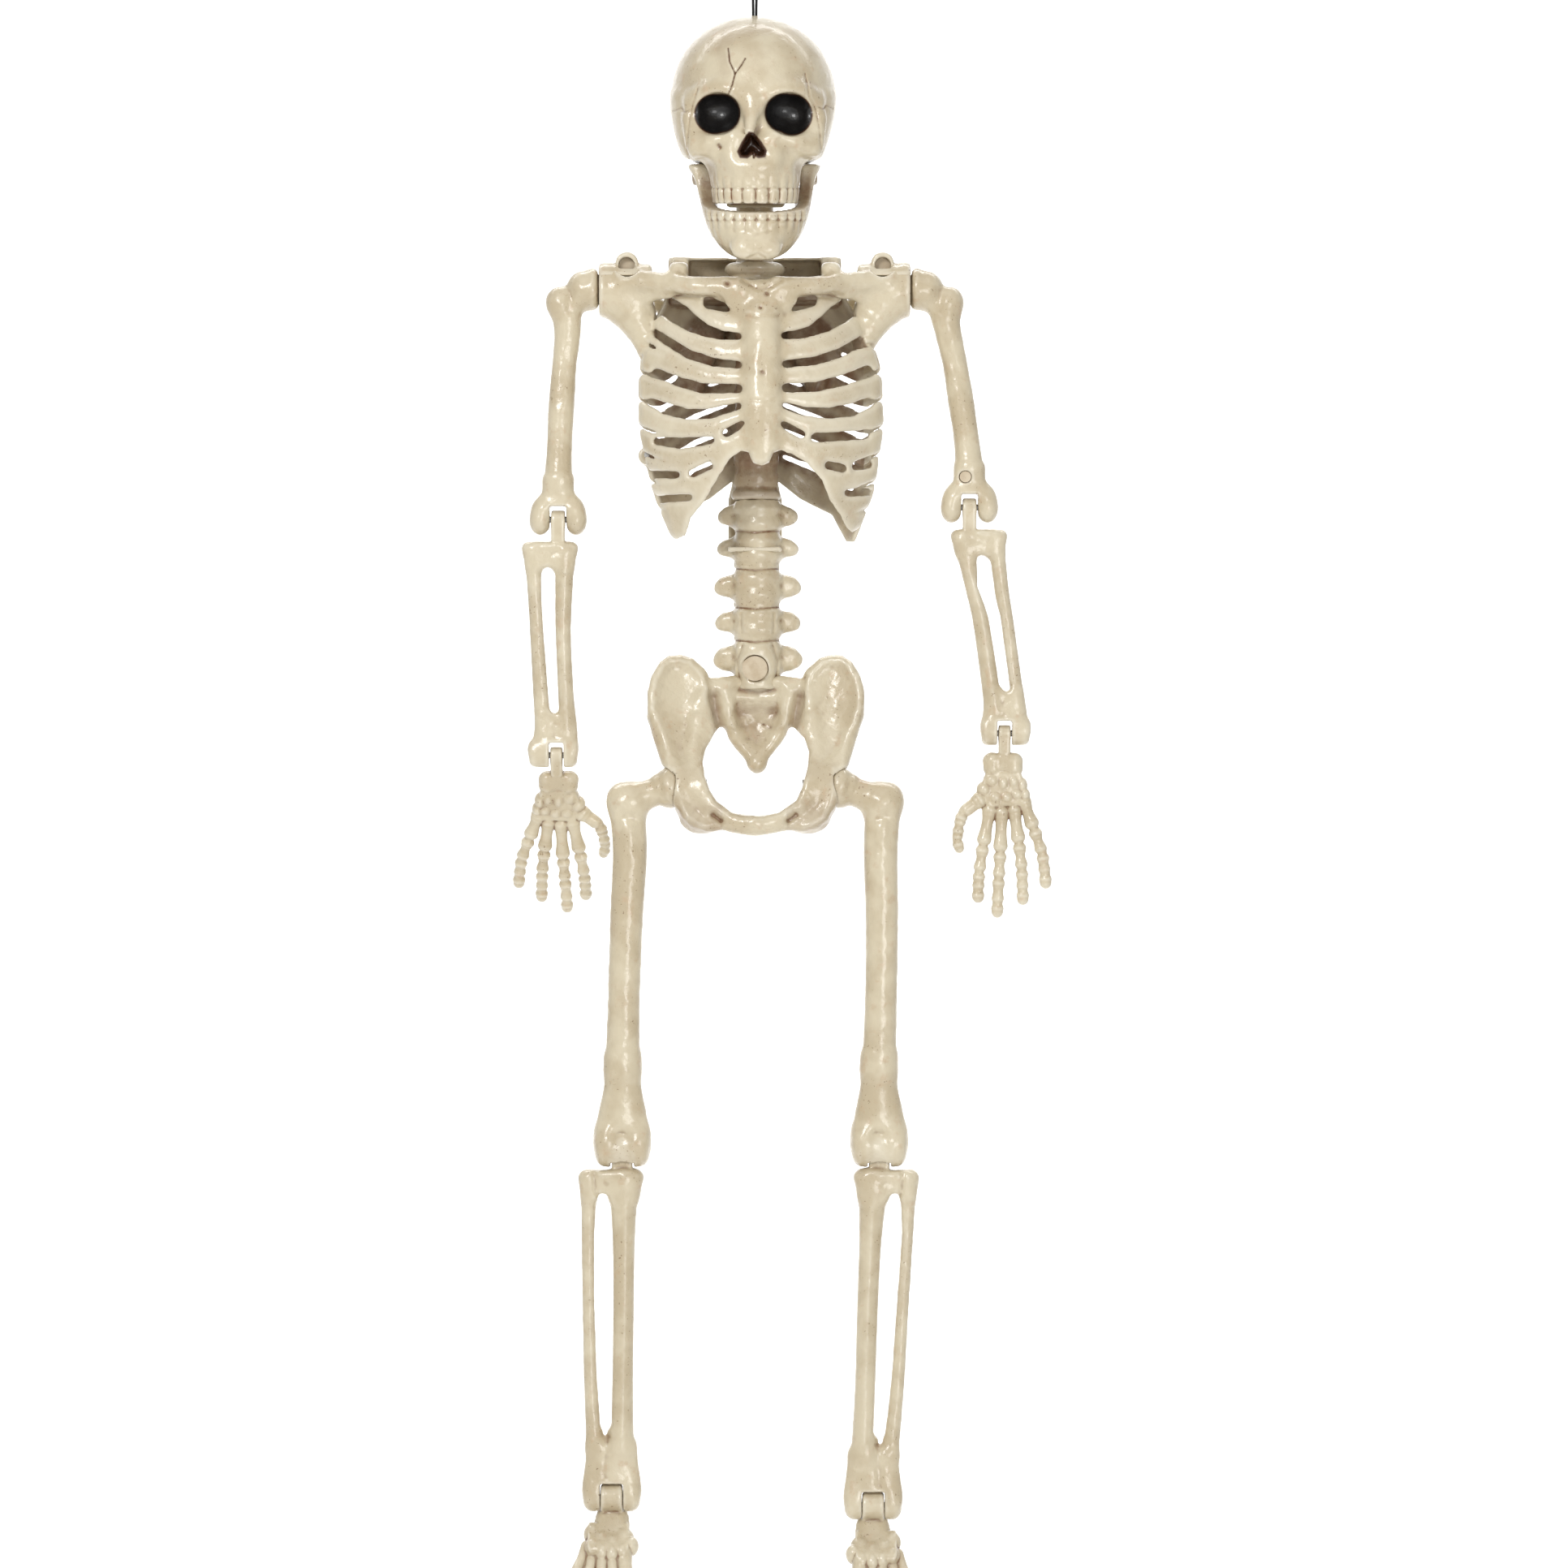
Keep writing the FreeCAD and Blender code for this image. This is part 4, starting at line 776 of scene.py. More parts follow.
COSTAL_EDGE = [  # the arched lower edge of the front shell
    (-90, -352), (-52, -361), (-49.5, -364), (-44.6, -366.2), (-39.0, -364), (-35.6, -353.5), (-28.4, -344.5),
    (-18.9, -328.5), (-13.7, -320), (-7.7, -315.8), (-3.8, -316.5), (-1, -322.5), (4.2, -324.0),
    (8.4, -322.0), (10.5, -316.5), (14.7, -315.5), (20.8, -317.5), (29.1, -322.4), (37.4, -331.9),
    (42.2, -343.8), (48.1, -352.1), (51.6, -359.4), (55.2, -362.2), (60, -359.6), (90, -345),
    (90, -420), (-90, -420),
]
# (x, z) of the screws on each side that hold the two shells together.
RIB_SCREWS = [(59.5, -262.0), (61.0, -318.0)]


def rear_slots():
    """The narrow sloping gaps between the rear ribs."""
    slots = []
    for i in range(6):
        z = -246.0 - 15.0 * i
        reach = 50 + 4 * min(i, 2) - 3 * max(i - 3, 0)
        for s in (-1, 1):
            slots.append([(s * 17, z + 5, 0.5), (s * 34, z - 2, 0.8), (s * reach + 3, z - 14, 0.7)])
    return slots


def barrel_form():
    return column(BARREL, 0.1)


def shoulder_cut(side):
    return [drum(0, side * 69.5, side * 96, (SEAM_Y, SHOULDER_Z), 8.5, 0.2),
            drum(0, side * 62.0, side * 70.2, (SEAM_Y, SHOULDER_Z), 12.0, 0.2)]


def rib_shell(slots, facing):
    """One half of the rib barrel as a thin shell, swollen between its gaps."""
    c = Clay((-98, -56, -374), (98, 60, -198), 0.9)
    distance = barrel_form()[0]

    def form(f, x, y, z):
        gap = None
        for points in slots:
            d = path_distance(x, z, points) - 0.5
            gap = d if gap is None else np.minimum(gap, d)
        swell = 1.7 * (1.0 - np.exp(-np.maximum(gap, 0.0) / 2.4))
        wall = distance(x, y, z) - swell
        shell = np.abs(wall + WALL / 2) - WALL / 2
        shell = soft_max(shell, z - (-226.0 if facing < 0 else -204.6), 1.6)
        half = (y - SEAM_Y) if facing < 0 else (SEAM_Y - y)
        open_side = soft_max(-gap, half + 10.0, 1.0)
        return soft_max(soft_max(shell, open_side, 1.8), half, 0.4)

    return c.everywhere(form)


def side_grooves(c, facing):
    """The ribs carry on round the sides of the barrel as grooves."""
    def change(f, x, y, z):
        for i in range(7):
            base = -252.0 - 15.5 * i
            line = base + 0.28 * (y - SEAM_Y) * (1 if facing < 0 else -1)
            near = np.exp(-((z - line) / 1.5) ** 2)
            f = f + 1.5 * near * np.clip((np.abs(x - 3) - 52) / 9.0, 0, 1)
        return f
    c.everywhere(change)


def shoulders(c):
    for s in (-1, 1):
        c.add(drum(0, s * 58, s * 88.0, (SEAM_Y, SHOULDER_Z), 14.4, 1.6, 14.2), blend=4)
        c.add(bone_run([(s * 85, SEAM_Y, -224, 14.0), (s * 76, SEAM_Y, -229, 14.0),
                        (s * 68, SEAM_Y - 1, -238, 12.0), (s * 63, SEAM_Y - 3, -250, 8.0),
                        (s * 60.5, SEAM_Y - 4, -262, 4.5)]), blend=4)
        c.add(bone_run([(s * 76, SEAM_Y - 2, -225, 9.5), (s * 66, SEAM_Y - 6, -226, 6.5),
                        (s * 58, SEAM_Y - 12, -226, 4.5), (s * 48, SEAM_Y - 19, -225.5, 3.5)]), blend=3)


def ribcage_front():
    c = rib_shell(FRONT_SLOTS, -1)
    side_grooves(c, -1)
    shoulders(c)
    for s in (-1, 1):
        c.add(bone_run([(s * 12 + 2, -30, -222.5, 6.0), (s * 34, -26, -222.0, 5.4),
                        (s * 56, -15, -219.5, 5.6), (s * 74, -8, -218.5, 6.2)]), blend=4)
        c.add(side_block(s, 37.6, 48.4, -19, 4, -226, -208.5, 2.0), blend=5)
        c.press([(s * 24, -229), (s * 50, -227)], 0.8, 1.6, -2)
    c.add(egg((3.5, -31.5, -229), (20, 5.0, 11.0)), blend=5)
    c.add(bone_run([(4.0, -35.5, -238, 6.4), (4.5, -41, -262, 6.4), (4.5, -44.0, -290, 7.0),
                    (4.5, -44.5, -312, 6.0), (4.5, -44.0, -318, 5.4)], (1.35, 0.8, 1)), blend=5)
    c.press([(-7, -219), (0, -223), (4, -224), (8, -223), (15, -219)], 0.9, 1.5)
    for z, half in ((-239.5, 9), (-287, 7)):
        c.press([(4.3 - half, z + 0.8), (4.3, z), (4.3 + half, z + 0.8)], 0.5, 0.8)
    c.press([(4.5, -262), (5.0, -280)], 0.8, 3.0)
    for x, z in ((4.0, -270.5), (3.0, -234), (6.5, -226), (-16.0, -220.5)):
        c.press([(x, z), (x + 0.8, z - 0.6)], 1.3, 1.0)
    c.cut(plate(COSTAL_EDGE, -90, 60, 0.5), blend=3.0)
    c.cut(block(-120, 120, SEAM_Y - 0.1, 90, -400, -190, 0.1), blend=0.3)
    c.worked(0.18)
    for s in (-1, 1):
        c.cut(*shoulder_cut(s), blend=0.6)
        c.cut(side_block(s, 88.2, 100, -60, 60, -260, -190, 0.1), blend=0.8)
        c.cut(drum(1, -30, SEAM_Y + 2, (s * PEG_X, PEG_Z), 7.2, 0.2), blend=1.0)
    c.cut(drum(2, -242, -190, NECK, 18.4, 0.2), blend=0.5)

    def paint(x, y, z):
        # The inner face of the shell is browned: painted shade inside the barrel, with some of the darker
        # inner plastic's own colour.
        inner = step_up(-barrel_form()[0](x, y, z), 1.0, 2.0) * (np.abs(x - 3) < 62)
        pocks = np.zeros(len(x))
        for px, pz, r in ((-16.0, -220.8, 3.2), (6.5, -226.5, 2.4), (4.2, -271, 3.0), (3.0, -234.3, 1.6)):
            pocks = np.maximum(pocks, 0.6 * step_up(-np.hypot(x - px, z - pz), -r, -r * 0.3) * (y < -20))
        return {"stain": np.maximum(inner * 0.9, pocks)}

    piece("ribcage_front_look", c, "torso", ["ribcage_front"], paint, as_seen)


def ribcage_rear():
    c = rib_shell(rear_slots(), 1)
    side_grooves(c, 1)
    shoulders(c)
    for s in (-1, 1):
        c.add(side_block(s, 37.5, 48, 3, 30.5, -232, -205.0, 1.0), blend=2)
        c.add(plate([(s * 20, -236), (s * 52, -238), (s * 55, -246), (s * 38, -282), (s * 31, -283),
                     (s * 17, -246)], 32, 45.5, 3.0), blend=4)
        c.add(bone_run([(s * 20, 44, -244, 2.6), (s * 42, 40, -236, 3.4), (s * 66, 18, -226, 5.0)]), blend=4)
        for x, z in RIB_SCREWS:
            c.add(drum(1, SEAM_Y, SEAM_Y + 24, (s * x, z), 5.0, 0.4), blend=2)
        c.add(drum(1, SEAM_Y - 7, SEAM_Y + 11, (s * PEG_X, PEG_Z), 6.5, 0.9), blend=1.0)
    c.add(drum(2, -240, -226.5, NECK, 15.5, 0.6), blend=2)
    c.add(block(-40, 40, 2, 38, -229.5, -226.2, 0.4), blend=1)
    c.add(drum(2, -341.2, -236, SPINE, 11.8, 0.8), blend=1.5)
    for i in range(9):
        z = -233.0 - 12.2 * i
        c.add(drum(2, z - 4.4, z + 4.4, SPINE, 12.8, 1.6), blend=1.2)
        c.add(rod((0, WAIST_Y + 13, z), (0, WAIST_Y + 21, z - 7), 3.4, 2.4), blend=2.5)
    c.add(drum(2, -341.2, -337.5, SPINE, 14.2, 0.8), blend=3.5)
    c.worked(0.18)
    for s in (-1, 1):
        c.cut(*shoulder_cut(s), blend=0.6)
        c.cut(side_block(s, 88.2, 100, -60, 60, -260, -190, 0.1), blend=0.8)
        for x, z in RIB_SCREWS:
            c.cut(drum(1, SEAM_Y + 11.4, 80, (s * x, z), 3.3, 0.1), blend=0.4)
        c.cut(plate([(s * 13.0, -330), (s * 26, -340.5), (s * 44, -350), (s * 52, -366), (s * 90, -372),
                     (s * 90, -420), (s * 15.5, -420), (s * 15.5, -341)], SEAM_Y - 2, 80, 0.5), blend=1.5)
        c.cut(drum(1, SEAM_Y - 9, SEAM_Y + 7.9, (s * 72.5, -210.5), 4.5, 0.1), blend=0.3)
    c.cut(block(-120, 120, -90, SEAM_Y + 0.1, -400, -217, 0.1), blend=0.3)
    c.cut(drum(2, -260, -190, NECK, 9.3, 0.1), drum(2, -226.3, -190, NECK, 18.4, 0.1), blend=0.4)
    c.cut(drum(2, -260, -236.0, NECK, 12.0, 0.1), drum(2, -346, -330, (0, WAIST_Y), 7.8, 0.1), blend=0.4)

    def paint(x, y, z):
        # The inner face of the shell is browned: painted shade inside the barrel, with some of the darker
        # inner plastic's own colour, less near the top and round the low spine.
        inner = step_up(-barrel_form()[0](x, y, z), 0.8, 1.9) * (np.abs(x) < 62) * (z < -208)
        low_spine = (np.hypot(x - 0.8, y - WAIST_Y) < 15) * step_up(-z, 316, 338)
        inner = inner * (1.0 - 0.6 * low_spine) * (1.0 - 0.55 * step_up(z, -228, -218))
        return {"stain": inner}

    piece("ribcage_rear_look", c, "torso", ["ribcage_rear"], paint)


# ---- spine and pelvis ----
# Lumbar vertebrae: height of the middle, half height and half width of the side lobes.
VERTEBRAE = [(-351.5, 6.4, 23.2), (-369.7, 5.8, 24.0), (-391.7, 7.0, 24.8), (-412.0, 6.6, 24.6),
             (-433.0, 8.0, 24.8)]


def lumbar_spine():
    c = Clay((-32, 2, -460), (34, 60, -326), 0.7)
    y = WAIST_Y
    c.add(drum(2, -450, -341.9, (1.4, y), 12.6, 1.0), blend=1)
    c.add(drum(2, -343.0, -331.0, (0, y), 6.9, 0.4), blend=0.5)
    for z, tall, wide in VERTEBRAE:
        c.add(drum(2, z - tall - 1.2, z + tall + 1.2, (1.5, y), 14.4, 2.4), blend=2.5)
        for s in (-1, 1):
            x = 1.6 + s * (wide - 5.2)
            c.add(bone_run([(1.6 + s * 8, y + 1, z - 0.6, tall * 0.70),
                            (x - s * 3, y + 2, z + 0.6, tall * 0.84), (x + s * 1.0, y + 2, z, tall * 0.62)],
                           (1, 0.85, 1.08)), blend=3.0)
            c.press([(1.6 + s * (wide - 11), z + 1), (1.6 + s * (wide - 4), z - 0.5)], 0.9, tall * 0.34, y)
            c.add(rod((s * 8, y + 11, z + tall), (s * 9, y + 15, z - tall - 3), 3.0, 3.4), blend=2)
        c.add(rod((0, y + 12, z), (0, y + 22.5, z - 3.5), 2.6, 2.4, (0.9, 1, 1.7)), blend=2.5)
    for z in (-360.4, -381.9, -404.0, -422.8):
        c.press([(-13, z + 0.9), (0, z - 0.6), (16, z + 0.9)], 0.8, 0.8, y)
        c.press([(-13, z + 0.4), (0, z - 0.4), (16, z + 0.5)], 1.2, 1.1, y, 1)
    for z, tall, wide in VERTEBRAE[:-1]:
        c.press([(-7, z), (10, z)], 0.9, tall * 0.5, y)
    for s in (-1, 1):
        c.press([(1.5 + s * 10, -446), (1.5 + s * 11.5, -434), (1.5 + s * 8.5, -425)], 0.7, 1.1, y)
        c.press([(1.5 + s * 9.0, -418), (1.5 + s * 9.4, -407)], 0.5, 0.9, y)
    c.worked(0.2)
    c.cut(drum(1, y - 24, y - 11.2, (0, -438.3), 7.6, 0.1), blend=0.6)
    piece("lumbar_spine_look", c, "hips", ["lumbar_spine"])


# Outlines seen from the front: the plate of the pelvis, the opening through it, the sacrum.
WING = [(-40, -452), (20, -452), (19.0, -444.6), (26.0, -442.5), (30.6, -437.0), (36.0, -432.0),
        (42.5, -430.0), (49.5, -430.4), (55.0, -434.4), (59.6, -442.5), (61.8, -452), (61.6, -461),
        (58.8, -469.4), (55.2, -477), (53.0, -485.6), (52.0, -494.9), (47.4, -505), (44.8, -516),
        (40.6, -524.6), (34, -529), (27, -531.0), (18, -530), (8, -531.0), (-40, -532)]
OPENING = [(-19.8, -475.1), (-23.4, -476.6), (-27.8, -484.2), (-29.4, -491.8), (-28.3, -499.4),
           (-25.5, -507.1), (-21, -513.9), (-12.6, -520), (1.1, -521.8), (13.4, -520), (23.4, -513.2),
           (26.6, -506.5), (29.9, -494.9), (30.6, -485.7), (28.2, -478), (24, -475), (18.6, -476.6),
           (13.3, -483.4), (7.6, -490.3), (6.2, -494), (1.4, -497.4), (-3.7, -494.9), (-6.5, -490.3),
           (-12.6, -483.4)]
SACRUM = [(-27, -443.0), (-25, -455), (-22.5, -463), (-19.5, -474.5), (-12.8, -482.6), (-6.8, -490.0),
          (-3.8, -494.6), (1.4, -497.4), (6.3, -494), (7.8, -489.8), (13.4, -482.8), (18.8, -476.0),
          (23.5, -468), (26.5, -459), (28.5, -443.0)]
SACRUM_HOLES = [  # (x, z, depth, radius)
    (-8.0, -462.7, 0.9, 3.4), (9.8, -462.7, 1.3, 3.2), (-6.3, -470.8, 0.8, 2.4), (7.6, -471.5, 0.7, 2.2),
    (-5.0, -478.5, 0.5, 1.8), (6.0, -479.0, 0.5, 1.6), (4.6, -470.0, 1.2, 0.6),
]
# The pelvis leans forwards: height, middle depth and thickness of its plate.
LEAN = [(-426.0, 19.0, 8.0), (-440.0, 17.0, 7.0), (-456.0, 13.0, 7.0), (-480.0, 7.0, 11.0),
        (-500.0, 0.5, 15.0), (-515.0, -6.0, 13.0), (-535.0, -12.0, 10.5)]


def pelvis():
    c = Clay((-72, -34, -542), (72, 54, -422), 0.75)

    def wings(f, x, y, z):
        out = outline_distance(np.abs(x - 0.6), z, WING)
        into = np.maximum(-out, 0.0)
        depth = eased(z, LEAN, 1) - 0.005 * np.maximum(np.abs(x) - 28, 0) ** 2 * step_up(z, -490, -465)
        rim = np.exp(-((into - 3.0) / 3.4) ** 2) * step_up(np.abs(x), 20, 34)
        thick = eased(z, LEAN, 2) / 2 + 1.9 * rim
        return soft_max(out, np.abs(y - depth) - thick, 5.0)

    c.everywhere(wings)
    for s in (-1, 1):
        x0 = s * 0.6
        c.add(drum(0, s * 24, s * 44.2, (0, HIP_Z), 13.6, 2.0, 12.4), blend=7)
        c.add(bone_run([(s * 32 + x0, 9, -468, 4.6), (s * 34 + x0, 3, -486, 4.8),
                        (s * 31 + x0, -5, -503, 4.8), (s * 24 + x0, -11, -516, 5.0),
                        (s * 10 + x0, -15, -525.2, 5.2), (0, -16, -526.4, 5.2)]), blend=5)
        c.add(bone_run([(s * 57 + x0, 9, -466, 2.8), (s * 51 + x0, 5, -484, 3.4), (s * 43, -3, -497, 4.0)]),
              blend=6)
        c.add(egg((s * 30 + x0, -2, -524), (11, 9, 8)), blend=6)
        c.add(bone_run([(s * 14, 20, -449, 5.5), (s * 24, 16, -452, 5.8), (s * 31, 13, -458, 5.0)]), blend=5)
    c.cut(plate(OPENING, -60, 15, 1.5), blend=3.0)
    c.cut(plate(SACRUM, -60, 17, 3.0), blend=4.0)
    sacrum = Clay((-72, -34, -542), (72, 54, -422), 0.75)

    def tail_bone(f, x, y, z):
        out = outline_distance(x, z, SACRUM) + 1.5
        depth = eased(z, [(-440.0, 25.0), (-455.0, 25.0), (-470.0, 27.0), (-485.0, 25.0), (-500.0, 18.0)], 1)
        cup = 4.2 * np.exp(-(((x - 1) / (9.5 + 0.22 * (z + 466))) ** 2 + ((z + 466) / 13.0) ** 2))
        return soft_max(out, np.abs(y - depth) - 8.5 + cup + 0.006 * (x - 1) ** 2, 7.0)

    sacrum.everywhere(tail_bone)
    for s in (-1, 1):
        sacrum.add(bone_run([(1 + s * 22, 24, -449, 4.6), (1 + s * 19.5, 22, -459, 5.2),
                             (1 + s * 15.5, 21, -470, 4.4), (1 + s * 9.5, 20, -480, 3.6),
                             (1.3, 18, -491, 3.4)]), blend=4)
        sacrum.add(bone_run([(1 + s * 12, 23, -447, 4.5), (1 + s * 20, 20, -450.5, 4.6),
                             (1 + s * 25, 20, -456, 3.6)]), blend=4)
    sacrum.add(egg((1.3, 18, -492.6), (4.8, 5.0, 5.4)), blend=3)
    c.field = soft_min(c.field, sacrum.field, 3.0)
    for s in (-1, 1):
        web = [(1 + s * 15, -446), (1 + s * 32, -450), (1 + s * 32, -468), (1 + s * 26, -476),
               (1 + s * 20, -475.5), (1 + s * 12, -472)]
        c.add(plate(web, 14.5, 26, 3.0), blend=3.5)
    for x, z, depth, r in SACRUM_HOLES:
        c.press([(x, z), (x + 0.8, z - 0.3)], depth, r, 30)
    c.press([(-8.5, -450.2), (1.5, -451.8), (11, -450.2)], 1.6, 2.6, 30)
    for s in (-1, 1):
        seam = [(s * 24 + 1, -455), (s * 22.5 + 1, -464), (s * 20.5 + 1, -473)]
        c.press(seam, 3.0, 3.6, 36)
        c.press([(s * 45, -440), (s * 43, -470)], 1.4, 8.0, 36)
        c.press([(s * 23.0, -521.4), (s * 19.0, -524.4)], 2.6, 2.2, 20)
    c.worked(0.2)
    for s in (-1, 1):
        c.cut(drum(0, s * 33.0, s * 70, (0, HIP_Z), 7.5, 0.1), blend=0.5)
        c.cut(drum(0, s * 44.5, s * 60, (0, HIP_Z), 12.2, 0.2), blend=0.8)
        c.cut(drum(0, s * 10.0, s * 31.2, (0, HIP_Z), 5.3, 0.1), blend=0.5)

    def paint(x, y, z):
        rim = path_distance(x, z, [(-8.5, -450.6), (1.5, -452.2), (11, -450.6)])
        stain = 0.65 * step_up(-rim, -2.6, 0.2) * (y < 32)
        for s in (-1, 1):
            d = path_distance(x, z, [(s * 24 + 1, -452), (s * 23 + 1, -464), (s * 20.5 + 1, -474)])
            stain = np.maximum(stain, 0.5 * step_up(-d, -5.0, -0.5) * (y < 32))
        # The lower sides, below the hip sockets, are made darker towards the bottom.
        low = 0.3 * step_up(-z, 505, 522) * (np.abs(x) > 18)
        return {"stain": np.maximum(stain, low)}

    piece("pelvis_look", c, "hips", ["pelvis"], paint)


# ---- arms ----
def hinge_fork(c, x, z, lobe_r, width, depth, up):
    c.add(drum(0, x - width / 2, x + width / 2, (0, z), lobe_r, 2.2), blend=1)
    c.add(block(x - width / 2, x + width / 2, -depth, depth, z, z + up, 2.2), blend=3)


def hinge_slot(c, x, z, slot_width, tongue_r):
    top = tongue_r + 2.2
    c.cut(block(x - slot_width / 2, x + slot_width / 2, -40, 40, z - 40, z + top, 0.6), blend=0.8)


def hinge_tongue(c, x, z, half, radius, depth, down, rounding=0.6, blend=0.6):
    """The rounded tongue that turns in the slot above it."""
    c.add(drum(0, x - half, x + half, (0, z), radius, rounding),
          block(x - half, x + half, -depth, depth, z - down, z, 0.8), blend=blend)


def pin_hole(c, x, z, reach):
    c.cut(drum(0, x - reach, x + reach, (0, z), PIN_HOLE, 0.1), blend=0.3)


def hung(pin, side, degrees):
    """Puts a hand or foot on its pin, mirrored for its side and turned about the pin."""
    turn = math.radians(degrees)

    def place(p):
        x = p[:, 0] * -side + pin[0]
        y = p[:, 1] * math.cos(turn) - p[:, 2] * math.sin(turn)
        z = p[:, 1] * math.sin(turn) + p[:, 2] * math.cos(turn) + pin[1]
        return np.stack([x, y, z], 1)

    return place


def humerus(name, arm):
    s = arm["side"]
    x0, (ex, ez) = arm["shaft_x"], arm["elbow"]
    y = SEAM_Y
    c = Clay((min(x0, ex - 6, s * 66) - 20, -20, ez - 13), (max(x0, ex + 6, s * 66) + 20, 22, -200), 0.7)
    c.add(drum(0, s * 66.0, s * 92.0, (y, SHOULDER_Z), 7.4, 0.4), blend=0.5)
    c.add(drum(0, s * 63.4, s * 66.3, (y, SHOULDER_Z), 11.0, 0.4), blend=0.5)
    c.add(drum(0, s * 88.8, s * 95.0, (y, SHOULDER_Z), 12.2, 2.0, 11.6), blend=1.0)
    c.add(egg((s * 97, y, SHOULDER_Z - 1.0), (10.0, 11.4, 11.2)), blend=3)
    c.add(egg((s * 111, y, SHOULDER_Z - 7.5), (7.2, 8.6, 8.6)), blend=3.5)
    mid_z = (SHOULDER_Z + ez) / 2
    top = x0 * 0.985
    c.add(bone_run([(s * 107, y, SHOULDER_Z - 10, 8.8), (top * 0.88 + ex * 0.12, y, SHOULDER_Z - 24, 7.6),
                    (top * 0.6 + ex * 0.4, 1.5, SHOULDER_Z - 42, 7.0),
                    (x0 * 0.42 + ex * 0.58, 1, mid_z, 7.4), (x0 * 0.15 + ex * 0.85, 0.5, ez + 40, 7.2),
                    (ex, 0, ez + 22, 8.0)]), blend=5)
    c.add(column([(ez + 24, ex, 0, 8.0, 7.4), (ez + 16, ex, 0, 9.2, 7.2), (ez + 10, ex, 0, 11.8, 7.4),
                  (ez + 6, ex, 0, 13.4, 7.6)], 1.0, 2.3), blend=4)
    for side in (-1, 1):
        c.add(egg((ex + side * 10.2, 0, ez - 0.2), (6.2, 8.0, 8.6)), blend=2.5)
        c.add(egg((ex + side * 8.5, 0, ez + 6), (6.2, 7.6, 7.0)), blend=3)
    c.press([(s * 104, SHOULDER_Z - 2), (s * 105, SHOULDER_Z - 13)], 0.8, 2.6, 0)
    c.press([(x0 - s * 2, SHOULDER_Z - 30), (ex - s * 1, mid_z)], 0.35, 2.0, 0)
    c.worked(0.12)
    hinge_slot(c, ex, ez, 9.4, 5.2)
    px, pz = ex - s * 2.5, ez + 17.0
    y0, y1 = (-30, -3.9) if s > 0 else (3.9, 30)    # the plug is in front on the left arm only
    c.cut(drum(1, y0, y1, (px, pz), 3.5, 0.1), blend=0.5)
    piece(f"humerus_{name}_look", c, f"upper_arm_{name}", [f"humerus_{name}"])


def forearm(name, arm):
    s = arm["side"]
    (ex, ez), (wx, wz) = arm["elbow"], arm["wrist"]
    px, fx = arm["plate_x"], arm["fork_x"]
    zp, zl = ez - 12.4, wz + 17.0
    c = Clay((min(px, wx) - 24, -12, wz - 10), (max(px, wx, fx) + 24, 12, ez + 9), 0.6)
    c.add(column([(zp, px, 0, 15.6, 6.0), (zp - 4, px, 0, 16.0, 6.4), (zp - 9, px, 0, 14.0, 5.8),
                  (zp - 16, px, 0, 12.4, 5.0)], 2.0, 2.8), blend=1)
    mx, mz = (px + wx) / 2, (zp + zl) / 2
    c.add(bone_run([(px + s * 9.8, 0, zp - 8, 4.6), (px * 0.75 + wx * 0.25 + s * 9.2, 0, zp - 34, 4.1),
                    (mx + s * 8.8, 0, mz - 6, 4.1), (wx + s * 7.2, 0, zl - 4, 4.9)]), blend=4)
    c.add(bone_run([(px - s * 8.4, 0, zp - 8, 5.6), (px * 0.75 + wx * 0.25 - s * 6.8, 0, zp - 32, 4.9),
                    (mx - s * 5.4, 0, mz - 6, 4.8), (wx - s * 6.0, 0, zl - 4, 5.2)]), blend=4)
    c.add(column([(zl + 9, wx, 0, 9.4, 4.6), (zl - 2, wx, 0, 11.2, 5.6),
                  (wz + 8, (wx + fx) / 2, 0, 12.8, 6.2), (wz + 3, fx, 0, 13.6, 6.4)], 1.2, 2.4), blend=3)
    hinge_fork(c, fx, wz, 6.8, 27.4, 6.2, 8.5)
    c.cut(slot([(px + s * 1.4, zp - 17, 1.8), (px + s * 1.6, zp - 32, 2.5), (mx + s * 1.8, mz, 2.6),
                (wx + s * 1.0, zl + 9, 2.0)], -30, 30), blend=2.4)
    c.press([(px - 5, zp - 5), (px + 4, zp - 6)], 0.8, 3.2, 0)
    c.press([(wx - 1.0, zl), (wx - 1.0, wz + 10)], 0.6, 2.6, 0)
    c.press([(px - s * 8.4, zp - 18), (mx - s * 5.4, mz), (wx - s * 6.0, zl)], -0.4, 2.2, 0)
    c.worked(0.12)
    hinge_slot(c, wx, wz, 8.4, 4.8)
    hinge_tongue(c, ex, ez, 3.9, 5.2, 5.2, 15.5)
    pin_hole(c, ex, ez, 20)
    piece(f"forearm_{name}_look", c, f"lower_arm_{name}", [f"forearm_{name}"])


